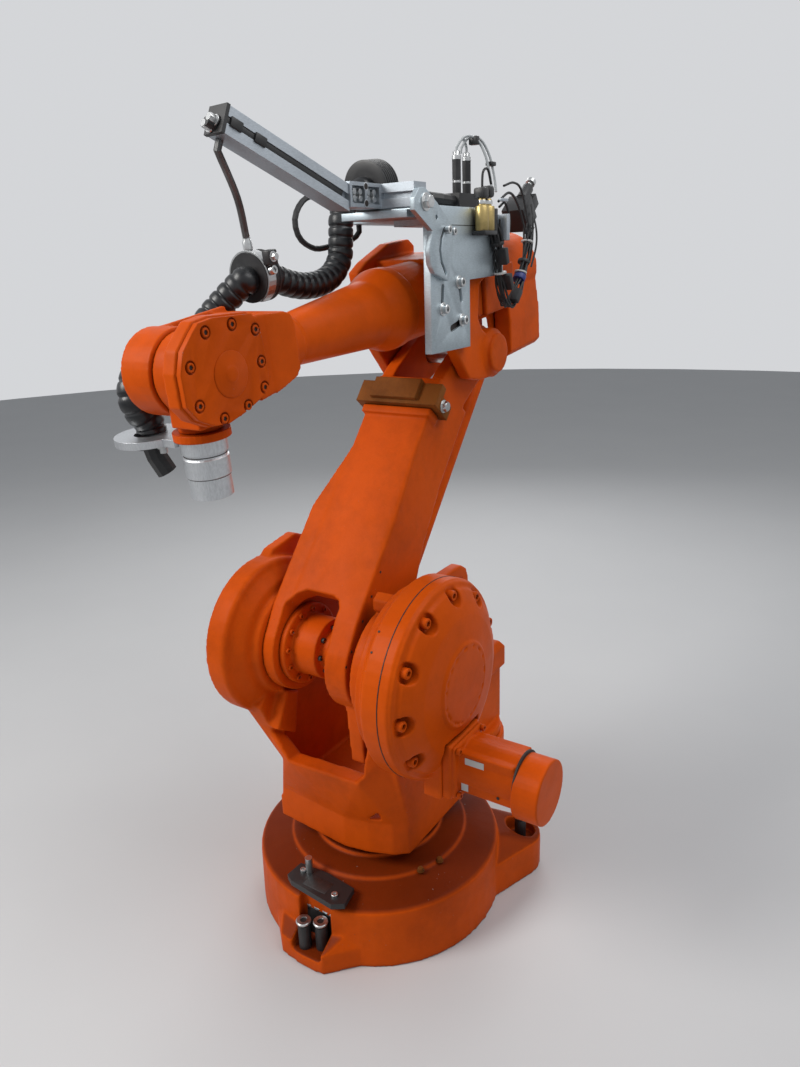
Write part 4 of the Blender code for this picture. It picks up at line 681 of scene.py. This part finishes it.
def lower_motors():
    """The gear motor under axis 2, and the motors behind it."""
    z = MOTOR_Z
    wide = MOTOR_FLANGE_HALF - 0.002
    second = block((AXIS2.x - wide, MOTOR_SEAT + 0.017, z - wide),
                   (AXIS2.x + wide, MOTOR_SEAT + 0.027, z + wide), 0.006)
    seam_y = MOTOR_END - 0.052
    faces = []
    for k in range(8):
        angle = math.radians(-180 + 180 * k / 7)
        faces.append((AXIS2.x + MOTOR_CAP_R * 1.005 * math.cos(angle),
                      MOTOR_CAP_Z + MOTOR_CAP_R * 1.005 * math.sin(angle)))
    chin = slab(faces, seam_y + 0.006, MOTOR_END - 0.006)
    groove = block((AXIS2.x + MOTOR_HALF - 0.002, MOTOR_SEAT + 0.030, z - 0.0275),
                   (AXIS2.x + MOTOR_HALF + 0.02, seam_y - 0.004, z - 0.0245))
    soften("axis2_motor", SMOOTH_PAINT, 0.0019, 2, [second, chin], [groove], keep=0.25)
    reach = MOTOR_FLANGE_HALF - 0.0095
    screws = [cap_screw((AXIS2.x + sx * reach, MOTOR_SEAT + 0.0275, z + sz * reach), OUT, 0.0062, 0.007)
              for sx in (-1, 1) for sz in (-1, 1)]
    show("axis2_motor_screws", join(screws), SMOOTH_PAINT, "frame")
    ring = [(0.0505, 0), (0.0530, 0.0012), (0.0530, 0.0040), (0.0505, 0.0052)]
    show("axis2_motor_seal", turned((AXIS2.x, seam_y, z), OUT, ring, 48), SEAM_AND_SHADE, "frame")
    soften("axis1_motor", PAINT, 0.0026, 4, keep=0.25)
    soften("axis3_motor", PAINT, 0.0024, 3, keep=0.25)
    soften("gear_unit_far", PAINT, 0.0026, 3, keep=0.25)
    box_low, box_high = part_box("axis1_motor")
    nut_at = Vector(((box_low[0] + box_high[0]) / 2 + 0.02, (box_low[1] + box_high[1]) / 2 + 0.02,
                     box_high[2] - 0.0005))
    show("axis1_motor_nut", hex_screw(nut_at, UP, 0.011, 0.009, 1.4), STEEL, "frame")
    leads = [wire([(-0.135, 0.160 + 0.012 * k, 0.515), (-0.105, 0.172 + 0.012 * k, 0.500),
                   (-0.085, 0.176 + 0.012 * k, 0.440), (-0.098, 0.172 + 0.012 * k, 0.370),
                   (-0.125, 0.160 + 0.010 * k, 0.328)], 0.0062, 12, 0.006) for k in (0, 1)]
    show("motor_leads", join(leads), BRACKET, "frame")


def hose_pieces():
    """The ribbed hose, cut into lengths where it crosses a joint."""
    def ribbed(points, before):
        def radius(reach):
            phase = ((reach + before) / HOSE_PITCH) % 1.0
            swell = 0.5 + 0.5 * math.cos(2 * math.pi * phase)
            return HOSE_R - HOSE_GROOVE * swell ** 9 - 0.0006 * swell
        return sweep(points, radius, 28)

    def length_of(points):
        return sum((b - a).length for a, b in zip(points, points[1:]))

    spacing = HOSE_PITCH / 12
    lead = Vector((HOSE_LEAD, 0, 0))
    start = CLAMP_AT + Vector((0.0233, 0, -0.004))
    end = SADDLE_AT + Vector((-0.0193, 0, -0.004))
    route = [start, start + lead, (0.226, -0.068, 0.334), (0.250, -0.070, 0.306), (0.260, -0.070, 0.268),
             (0.270, -0.070, 0.236), (0.296, -0.071, 0.211), (0.336, -0.071, 0.200), (0.385, -0.071, 0.202),
             (0.430, -0.072, 0.214), end - lead, end]
    made = show("hose_upper_ribbed", ribbed(smooth_route(route, spacing), 0.0), HOSE, "upper_arm", UPPER, 180)
    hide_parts("hose_upper")
    start = SADDLE_AT + Vector((0.0193, 0, -0.004))
    front = [start + lead, (0.552, -0.090, 0.216), (0.576, -0.112, 0.190), (0.610, -0.124, 0.164),
             (0.660, -0.127, 0.150), (0.715, -0.126, 0.143), (0.757, -0.122, 0.124), (0.775, -0.117, 0.096),
             (0.768, -0.114, 0.066), RING_AT + Vector((0, 0, HOSE_LEAD))]
    knots = [start, *smooth_route(front, 0.016), RING_AT]
    dense = smooth_route(knots, spacing)
    places = [0, len(knots) // 3 - 1, 2 * len(knots) // 3 - 1, len(knots) - 1]
    stops = [min(range(len(dense)), key=lambda i: (dense[i] - knots[k]).length) for k in places]
    pairs = (("hose_forearm", "upper_arm", "forearm"), ("hose_wrist", "forearm", "wrist_tilt"),
             ("hose_tool", "wrist_tilt", "tool"))
    for (node, first, second), low, high in zip(pairs, stops, stops[1:]):
        run = dense[low:high + 1]
        made = show(node + "_ribbed", ribbed(run, length_of(dense[:low + 1])), HOSE, None, UPPER, 180)
        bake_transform(made)
        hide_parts(node)


def hose_holders():
    """The ribbed clamp, and the saddle with its strap."""
    rings = []
    for k in range(7):
        level = 0.003 + 0.0066 * k
        rings += [(0.0455, level - 0.0016), (0.0500, level), (0.0500, level + 0.0032),
                  (0.0455, level + 0.0048)]
    rings = [(0.030, -0.001), *rings, (0.030, 0.047)]
    body = turned(CLAMP_AT - Vector((0.023, 0, 0)), AHEAD, rings, 48)
    foot = moved(block((0.1653, -0.092, 0.2795), (0.2053, -0.032, 0.3080), 0.003), UPPER.inverted() @ DRESS)
    made = show("hose_clamp_made", join([body, foot]), BLACK, "upper_arm", UPPER, 30)
    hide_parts("hose_clamp")
    rounded("hose_saddle", BLACK, 0.0035, segments=3)
    rounded("saddle_strap", STEEL, 0.0006)
    rings = [(0.0415, 0), (0.0425, 0.0012), (0.0425, 0.0040), (0.0415, 0.0052)]
    flanges = [turned(SADDLE_AT + Vector((x, 0, 0)), AHEAD, rings, 44) for x in (-0.0185, -0.0065)]
    lug = block((0.503, -0.036, 0.255), (0.525, -0.020, 0.279), 0.003)
    show("saddle_flanges", join([*flanges, lug]), BLACK, "upper_arm", UPPER, 30)
    screws = [cap_screw(SADDLE_AT + Vector((0.009, 0.0440, 0.010)), (0, 1, 0.2), 0.0075, 0.008),
              hex_screw(SADDLE_AT + Vector((0.009, 0.0520, 0.032)), OUT, 0.0065, 0.006, 1.35),
              turned(SADDLE_AT + Vector((0.009, 0, 0.0445)), UP,
                     [(0.0085, 0), (0.0085, 0.012), (0.0065, 0.015), (0.0065, 0.022)], 20, (0, 1))]
    show("saddle_screws", join(screws), STEEL, "upper_arm", UPPER)


def dress_pack():
    """The slotted plate, its crescent arm and profiles beside the housing."""
    low = PLATE_FACE - 0.006
    lines = [slot_outline([(0.177, 0.152), (0.172, 0.137), (0.168, 0.119)], 0.0050),
             slot_outline([(0.241, 0.103), (0.2405, 0.120), (0.2375, 0.146)], 0.0052),
             slot_outline([(0.166, 0.081), (0.185, 0.073), (0.206, 0.068)], 0.0066)]
    cutters = [moved(slab(outline, low, PLATE_FACE + 0.01), DRESS) for outline in lines]
    rounded("dress_plate", PLATE, 0.0016, cutters)
    # Dark sheets at the back of the slots: painted shade seen through them
    slot_shades = [slab(outline, low - 0.0002, low + 0.0006) for outline in lines]
    arc_slot = slot_outline([(0.246, 0.246), (0.257, 0.231), (0.2625, 0.211), (0.258, 0.190),
                             (0.243, 0.170)], 0.0036)
    rounded("crescent_arm", PLATE, 0.0014,
            [moved(slab(arc_slot, CRESCENT_FACE - 0.005, CRESCENT_FACE + 0.01), DRESS)])
    slot_shades.append(slab(arc_slot, CRESCENT_FACE - 0.0052, CRESCENT_FACE - 0.0042))
    show("slot_shade_sheets", join([moved(f, DRESS) for f in slot_shades]), SEAM_AND_SHADE, "upper_arm")
    screws = []
    for x, z in ((0.177, 0.152), (0.239, 0.106), (0.166, 0.081)):
        screws.append(turned((x, PLATE_FACE, z), OUT, [(0.0125, 0), (0.0125, 0.0016), (0.0118, 0.0022)], 28))
        screws.append(cap_screw((x, PLATE_FACE + 0.002, z), OUT, 0.0088, 0.009))
    for x, z in ((0.240, 0.245), (0.202, 0.243)):
        screws.append(cap_screw((x, PLATE_FACE + (0.0105 if x > 0.22 else 0.0), z), OUT, 0.0070, 0.009))
    screws.append(hex_screw((0.310, CRESCENT_FACE, 0.290), OUT, 0.0115, 0.010, 1.35))
    show("plate_screws", join(screws), STEEL, "upper_arm", DRESS, 30)
    pivot_at = (0.218, PLATE_FACE, 0.205)
    pivot = cut(turned(pivot_at, OUT, [(0.0085, 0), (0.0085, 0.0022), (0.0075, 0.0030)], 28),
                [turned(pivot_at, OUT, [(0.0048, -0.01), (0.0048, 0.02)], 20)])
    show("plate_pivot", pivot, DARK_STEEL, "upper_arm", DRESS)
    fold = block((0.074, PLATE_FACE - 0.0002, 0.2535), (0.243, PLATE_FACE + 0.0006, 0.2550), 0.0003)
    show("plate_fold", fold, DARK_STEEL, "upper_arm", DRESS)
    rounded("profile_cross", PROFILE_METAL, 0.0010)
    rounded("profile_long", PROFILE_METAL, 0.0010)
    rounded("profile_end_cap", BLACK, 0.0022)
    profile_fittings()


def profile_fittings():
    """Dark groove strips, nuts and end nuts on the long profile, and the screws inside the open block."""
    half = 0.020
    strip = block((0.030, half - 0.0052, -0.0048), (LONG_LENGTH - 0.001, half - 0.0012, 0.0048), 0.0003)
    nuts = [block((x - 0.011, half - 0.004, -0.0072), (x + 0.011, half + 0.0032, 0.0072), 0.0015)
            for x in (LONG_LENGTH - 0.016, LONG_LENGTH - 0.062)]
    show("profile_strip", join([strip, *nuts]), BLACK, "upper_arm", DRESS @ LONG, 30)
    ends = [hex_screw((LONG_LENGTH + 0.0075, y, z), AHEAD, 0.0066, 0.011, 1.3)
            for y, z in ((0.004, -0.004), (-0.006, -0.012))]
    show("profile_end_nuts", join(ends), STEEL, "upper_arm", DRESS @ LONG, 30)
    face = CROSS_END_Y
    heads = [hex_screw((x, face - 0.0118, z), OUT, 0.0058, 0.007, 1.35)
             for x in (0.347, 0.364, 0.388, 0.405) for z in (CROSS_Z - 0.006, CROSS_Z + 0.005)]
    show("block_screws", join(heads), STEEL, "upper_arm", DRESS, 30)
    # Dark discs in the core holes: painted shade inside the holes
    core_shades = [turned((0.376, face + 0.0002, z), OUT, [(0.0052, 0), (0.0052, 0.0004)], 20)
             for z in (CROSS_Z + 0.0135, CROSS_Z - 0.0135)]
    rims = [turned((0.376, face + 0.0001, z), OUT, [(0.0068, 0), (0.0068, 0.0002)], 20)
            for z in (CROSS_Z + 0.0135, CROSS_Z - 0.0135)]
    show("block_core_hole_shades", join(core_shades), SEAM_AND_SHADE, "upper_arm", DRESS)
    show("block_core_rims", join(rims), ALUMINIUM, "upper_arm", DRESS)


def valves():
    """Two valves with silver tips and clear tubes, two brass coils with plugs, and the tilted sensor."""
    top = TRAY_TOP + GAP
    rounded("valve_pair", BLACK, 0.0010)
    tips = []
    for x in (0.062, 0.102):
        tips.append(turned((x, VALVE_Y, top + 0.0885), UP,
                           [(0.0092, 0), (0.0092, 0.007), (0.0070, 0.009), (0.0070, 0.014), (0.0050, 0.016)],
                           24, (3, 4)))
        tips.append(turned((x, VALVE_Y, top + 0.047), UP, [(0.0090, 0), (0.0090, 0.004)], 24))
    show("valve_tips", join(tips), STEEL, "upper_arm", DRESS)
    tubes = [wire([(x, VALVE_Y, top + 0.100), (x - 0.002, 0.080, top + 0.112),
                   (x - 0.020, 0.088, top + 0.130), (x - 0.044, 0.100, top + 0.126),
                   (x - 0.052, 0.114, top + 0.098), (x - 0.054, 0.124, top + 0.058),
                   (x - 0.050, 0.130, top + 0.030)], 0.0026, 10, 0.005) for x in (0.084, 0.102)]
    tubes.append(wire([(0.062, VALVE_Y, top + 0.100), (0.064, 0.080, top + 0.114),
                       (0.078, 0.082, top + 0.126), (0.084, 0.084, top + 0.124)], 0.0026, 10, 0.005))
    show("valve_tubes", join(tubes), CLEAR_TUBE, "upper_arm", DRESS)
    clips = [block((0.052, 0.086, top + 0.116), (0.066, 0.104, top + 0.132), 0.002),
             block((0.024, 0.110, top + 0.078), (0.042, 0.126, top + 0.086), 0.002)]
    show("tube_clips", join(clips), BLACK, "upper_arm", DRESS)
    out = PLATE_FACE + 0.0155
    coil = []
    for x in COIL_PLACES:
        coil.append(turned((x, out, 0.2440), UP,
                           [(0.0120, 0), (0.0130, 0.0015), (0.0130, 0.0435), (0.0120, 0.045)], 28))
        coil.append(turned((x, out, 0.2890), UP, [(0.0075, 0), (0.0075, 0.012), (0.0060, 0.014)], 20))
    made = show("coils", join(coil), BRASS, "upper_arm", DRESS)
    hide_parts("solenoid_block")
    nuts = [turned((x, out, 0.2925), UP, [(0.0092, 0), (0.0092, 0.006), (0.0080, 0.007)], 24, (0, 1))
            for x in COIL_PLACES]
    show("coil_nuts", join(nuts), STEEL, "upper_arm", DRESS)
    blocks = [block((0.073, PLATE_FACE, 0.236), (0.124, PLATE_FACE + 0.030, 0.2445), 0.002),
              block((0.098, PLATE_FACE + 0.002, 0.302), (0.122, PLATE_FACE + 0.026, 0.322), 0.005),
              block((0.074, PLATE_FACE + 0.002, 0.304), (0.096, PLATE_FACE + 0.026, 0.326), 0.006),
              block((0.050, PLATE_FACE, 0.240), (0.064, PLATE_FACE + 0.020, 0.286), 0.002),
              block((0.034, PLATE_FACE, 0.214), (0.044, PLATE_FACE + 0.018, 0.256), 0.002)]
    show("coil_connectors", join(blocks), BLACK, "upper_arm", DRESS)
    grey = [block((0.016, PLATE_FACE + 0.006, 0.226), (0.030, PLATE_FACE + 0.030, 0.276), 0.002),
            block((0.0, PLATE_FACE + 0.010, 0.300), (0.030, PLATE_FACE + 0.018, 0.306), 0.001)]
    show("grey_connectors", join(grey), PROFILE_METAL, "upper_arm", DRESS)
    box_low, box_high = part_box("sensor_block")
    centre = (Vector(box_low) + Vector(box_high)) / 2
    tilt = Matrix.Translation(centre + Vector((-0.024, 0, 0.004))) @ turn_y(38) @ Matrix.Scale(1.25, 4)
    body = [block((-0.020, -0.022, -0.026), (0.022, 0.020, 0.020), 0.002),
            block((-0.046, -0.012, -0.018), (-0.018, 0.016, 0.004), 0.0015),
            turned((-0.016, 0.002, 0.014), (-1, 0, 0), [(0.0098, 0), (0.0105, 0.001), (0.0105, 0.030),
                                                        (0.0085, 0.034)], 24)]
    made = show("sensor_tilted", join(body), BLACK, "upper_arm", tilt, 30)
    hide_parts("sensor_block")
    end = [turned((-0.050, 0.002, 0.014), (-1, 0, 0), [(0.0045, 0), (0.0045, 0.008), (0.0085, 0.009),
                                                       (0.0085, 0.017), (0.0070, 0.018)], 20),
           block((-0.0462, 0.002, -0.011), (-0.0455, 0.010, -0.004), 0.0002)]
    show("sensor_tip", join(end), STEEL, "upper_arm", tilt)


def loose_cables():
    """The bunch of thin cables between the coils and the sensor, with its ties."""
    y = PLATE_FACE + 0.0105
    spine = [Vector(p) for p in ((0.046, y, 0.262), (0.034, y, 0.225), (0.026, y, 0.180), (0.016, y, 0.132),
                                 (-0.008, y, 0.098), (-0.052, y, 0.128), (-0.090, y, 0.180),
                                 (-0.120, y, 0.256))]
    runs = []
    for k in range(9):
        phase = 2 * math.pi * k / 9
        points = []
        for i, point in enumerate(spine):
            twist = phase + 0.8 * i
            spread = 0.0110 + 0.0070 * math.sin(1.7 * i + k) - (0.004 if i in (2, 6) else 0.0)
            points.append(point + Vector((spread * math.cos(twist), spread * math.sin(twist) * 0.7,
                                          0.005 * math.sin(k + i))))
        runs.append(wire(points, 0.0017 + 0.0003 * (k % 3), 8, 0.006))
    for i in (1, 6):
        ahead = (spine[i + 1] - spine[i - 1]).normalized()
        runs.append(turned(spine[i], ahead, [(0.0125, 0), (0.0132, 0.001), (0.0132, 0.006), (0.0125, 0.007)],
                           20))
    plugs = [moved(block((-0.009, -0.007, -0.016), (0.009, 0.007, 0.016), 0.002), aim(at, direction))
             for at, direction in (((0.030, y + 0.012, 0.196), (0.3, 0, 1)),
                                   ((0.012, y + 0.014, 0.146), (0.4, 0, 0.9)),
                                   ((-0.030, y + 0.012, 0.116), (-0.7, 0, 0.7)))]
    made = show("cable_bunch", join([*runs, *plugs]), RUBBER, "upper_arm", DRESS)
    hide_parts("cable_bundle")
    rings = [(0.0128, 0), (0.0135, 0.0006), (0.0135, 0.0032), (0.0128, 0.0038)]
    bands = [turned(at, direction, rings, 20) for at, direction in (
        ((-0.076, y, 0.160), (-0.4, 0, 1)), ((-0.108, y, 0.222), (-0.3, 0, 1)),
        ((0.022, y, 0.162), (0.2, 0, 1)))]
    show("cable_ties", join(bands), WHITE_TIE, "upper_arm", DRESS)
    tape = turned((-0.066, y, 0.146), (-0.7, 0, 0.7), [(0.0128, 0), (0.0134, 0.001), (0.0134, 0.013),
                                                       (0.0128, 0.014)], 18)
    show("cable_tape", tape, BLUE_TIE, "upper_arm", DRESS)
    drops = [wire([(-0.150, y - 0.01, 0.300), (-0.128, y + 0.004, 0.270), (-0.120, y + 0.006, 0.215),
                   (-0.112, y + 0.004, 0.180)], 0.0022, 8, 0.006),
             wire([(-0.160, y - 0.012, 0.285), (-0.150, y + 0.002, 0.250), (-0.142, y + 0.006, 0.215),
                   (-0.122, y + 0.004, 0.172)], 0.0022, 8, 0.006),
             wire([(0.100, y, 0.318), (0.096, y, 0.350), (0.076, y, 0.356), (0.062, y, 0.330)], 0.0024, 8,
                  0.006),
             wire([(0.030, y, 0.300), (-0.020, y, 0.318), (-0.070, y - 0.004, 0.296), (-0.100, y, 0.240)],
                  0.0026, 8, 0.006),
             wire([(0.026, y, 0.290), (0.000, y, 0.298), (-0.020, y, 0.270), (-0.004, y + 0.006, 0.240)],
                  0.0026, 8, 0.006),
             wire([(0.006, y, 0.330), (-0.040, y, 0.338), (-0.090, y - 0.006, 0.325), (-0.112, y, 0.262),
                   (-0.116, y + 0.006, 0.205)], 0.0024, 8, 0.006)]
    show("cable_drops", join(drops), RUBBER, "upper_arm", DRESS)


def base_details():
    """Bright sleeve heads, the mark plate's screws and field, the notch's wall and chips, and the studs."""
    heads = []
    for node in ("foot_sleeve_front_inner", "foot_sleeve_front_outer", "foot_sleeve_rear_near",
                 "foot_sleeve_rear_far"):
        low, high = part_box(node)
        at = ((low[0] + high[0]) / 2, (low[1] + high[1]) / 2, high[2] - 0.004)
        heads.append(turned(at, UP, [(0.0150, 0), (0.0155, 0.0012), (0.0155, 0.0042), (0.0140, 0.0056),
                                     (0.0070, 0.0056), (0.0065, 0.0035)], 28))
    show("sleeve_heads", join(heads), STEEL, "base")
    low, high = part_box("mark_plate")
    top = high[2]
    screws = [cap_screw((low[0] + 0.022, -0.034, top), UP, 0.0060, 0.006),
              cap_screw((low[0] + 0.044, 0.064, top), UP, 0.0070, 0.005)]
    show("mark_plate_screws", join(screws), STEEL, "base")
    wall = slab([(-0.0175, 0.030), (0.0555, 0.030), (0.0555, 0.096), (-0.0175, 0.096)], NOTCH_FACE,
                NOTCH_FACE + 0.0013, "x")
    show("notch_wall", wall, DARK_STEEL, "base")
    field = block((low[0] + 0.020, -0.012, top - 0.0002), (high[0] - 0.016, 0.044, top + 0.0004), 0.0002)
    show("mark_plate_field", field, DARK_STEEL, "base")
    chips = []
    for y, width, drop in ((-0.014, 0.010, 0.012), (0.004, 0.014, 0.007), (0.026, 0.012, 0.010),
                           (0.044, 0.010, 0.016)):
        outline = [(y, NOTCH_TOP), (y + width, NOTCH_TOP), (y + width * 0.8, NOTCH_TOP - drop * 0.5),
                   (y + width * 0.5, NOTCH_TOP - drop), (y + width * 0.2, NOTCH_TOP - drop * 0.6)]
        chips.append(slab(outline, NOTCH_FACE + 0.0001, NOTCH_FACE + 0.0013, "x"))
    show("notch_chips", join(chips), PLATE, "base")
    studs = [hex_screw((STUD_CIRCLE_R * math.cos(a), STUD_CIRCLE_R * math.sin(a), BASE_SHOULDER_Z),
                       UP, 0.0062, 0.006, 1.3)
             for a in (-1.15, 1.05, 1.30)]
    show("base_studs", join(studs), BRACKET, "base")


def cover_details():
    """The arm bracket's screw, and the bare label places and a dark disc of painted shade for a hole on the
    axis 2 motor.
    """
    screw = hex_screw((ARM_FACE - 0.010, 0.0962, BRACKET_Z), OUT, 0.0105, 0.009, 1.25)
    show("bracket_screw", screw, STEEL, "lower_arm", LOWER)
    face = AXIS2.x + MOTOR_HALF + 0.0004
    fields = []
    for start, end, low, high in ((0.040, 0.078, 0.004, 0.034), (0.032, 0.046, -0.036, -0.016)):
        outline = [(MOTOR_SEAT + start, MOTOR_Z + low), (MOTOR_SEAT + end, MOTOR_Z + low),
                   (MOTOR_SEAT + end, MOTOR_Z + high), (MOTOR_SEAT + start, MOTOR_Z + high)]
        fields.append(slab(outline, face, face + 0.0006, "x"))
    show("bare_label_places", join(fields), WHITE_TIE, "frame")
    hole_shade = turned((face, MOTOR_SEAT + 0.106, MOTOR_Z - 0.028), AHEAD, [(0.0030, 0), (0.0030, 0.0006)], 12)
    show("motor_hole_shade", hole_shade, SEAM_AND_SHADE, "frame")


def tool_details():
    """Segment lines of the adapter, and the ring's knob."""
    lines = []
    for reach in (0.0245, 0.059):
        line = cut(lathe([(0.0337, 0), (0.0337, 0.0012)], 48), [lathe([(0.0320, -0.01), (0.0320, 0.01)], 48)])
        lines.append(moved(line, aim((ADAPTER_START + reach, 0, 0), AHEAD)))
    show("adapter_lines", join(lines), SEAM_AND_SHADE, "tool", TILT)
    rings = [(0.0090, 0), (0.0090, 0.004), (0.0060, 0.005), (0.0060, 0.012)]
    show("ring_knob", turned((0.111, -0.070, 0.020), AHEAD, rings, 24), STEEL, "tool", TILT)


def arm_details():
    """Bolts round the lever's ring and hub, and a row of dark discs in the near ear, painted shade for small
    holes.
    """
    bolts = [cap_screw((LEVER_BOLT_R * math.cos(a), LEVER_RING_FACE, LEVER_BOLT_R * math.sin(a)), OUT,
                       0.0058, 0.006) for a in np.radians(np.arange(10, 370, 30))]
    show("lever_ring_bolts", join(bolts), PAINT, "lever", Matrix.Translation(AXIS2))
    hub = [cap_screw((HUB_BOLT_R * math.cos(a), HUB_END, HUB_BOLT_R * math.sin(a)), OUT, 0.0052, 0.006)
           for a in np.radians(np.arange(0, 360, 45))]
    show("lever_hub_bolts", join(hub), DARK_STEEL, "lever", Matrix.Translation(AXIS2))
    hole_shades = [turned((EAR_HOLE_X, EAR_SIDE, z), OUT, [(0.0026, 0), (0.0026, 0.0005)], 12)
             for z in (-0.040, -0.010, 0.050, 0.100, 0.150)]
    show("ear_hole_shades", join(hole_shades), SEAM_AND_SHADE, "lower_arm", LOWER)


def wrist_details():
    """The near cover with its seats, screws, dark discs of painted shade in the sockets, and raised disc."""
    face = COVER_FACE
    cover, socket_shades = [], []
    for x, z in WRIST_SCREWS:
        cover.append(cap_screw((x, face - 0.0036, z), OUT, 0.0066, 0.0050))
        # A dark disc in each socket: painted shade inside it
        socket_shades.append(turned((x, face - 0.0012, z), OUT, [(0.0037, 0), (0.0037, 0.0008)], 18))
    show("wrist_cover_screws", join(cover), SMOOTH_PAINT, "forearm", WRIST)
    show("wrist_cover_socket_shades", join(socket_shades), SEAM_AND_SHADE, "forearm", WRIST)
    seats = [turned((x, face, z), OUT, [(0.0096, -0.0035), (0.0096, 0.004)], 24)
             for x, z in WRIST_SCREWS]
    rounded("wrist_cover", SMOOTH_PAINT, 0.0022, [moved(seat, WRIST) for seat in seats])
    rings = [(0.0335, -0.001), (0.0335, 0.0006), (0.0318, 0.0016), (0.0135, 0.0016), (0.0120, 0.0026),
             (0.0100, 0.0036), (0.0030, 0.0036)]
    disc = turned((0.002, face, 0.002), OUT, rings, 40)
    show("wrist_cover_disc", disc, SMOOTH_PAINT, "forearm", WRIST)


# The robot, piece by piece
set_camera()
set_stage()
soften("base_casting", BASE_PAINT, 0.0032, 4, keep=0.25)
soften("frame_casting", PAINT, 0.0032, 4, keep=0.2)
soften("lower_arm_casting", PAINT, 0.0030, 4, keep=0.2)
soften("upper_arm_housing", PAINT, 0.0028, 4, keep=0.2)
soften("rear_motor_cover", PAINT, 0.0028, 4, keep=0.25)
soften("axis4_motor", PAINT, 0.0026, 3, keep=0.3)
soften("axis3_lever", PAINT, 0.0026, 3, keep=0.25)
soften("wrist_fork", SMOOTH_PAINT, 0.0022, 4, keep=0.25)
soften("tilt_housing", SMOOTH_PAINT, 0.0022, 4, keep=0.25)
soften("forearm_tube", SMOOTH_PAINT, 0.0026, 4, keep=0.3)
near_unit()
lower_motors()
hose_pieces()
hose_holders()
dress_pack()
valves()
loose_cables()
wrist_details()
arm_details()
base_details()
cover_details()
tool_details()
rounded("arm_bracket", BRACKET, 0.0030)
rounded("mark_plate", BLACK, 0.0022)
rounded("mark_pin", STEEL, 0.0008)
rounded("clamp_ring", ALUMINIUM, 0.0012)
rounded("cable_connector", BLACK, 0.0014)
rounded("tool_flange", SMOOTH_PAINT, 0.0012)
rounded("tool_adapter", ALUMINIUM, 0.0008)
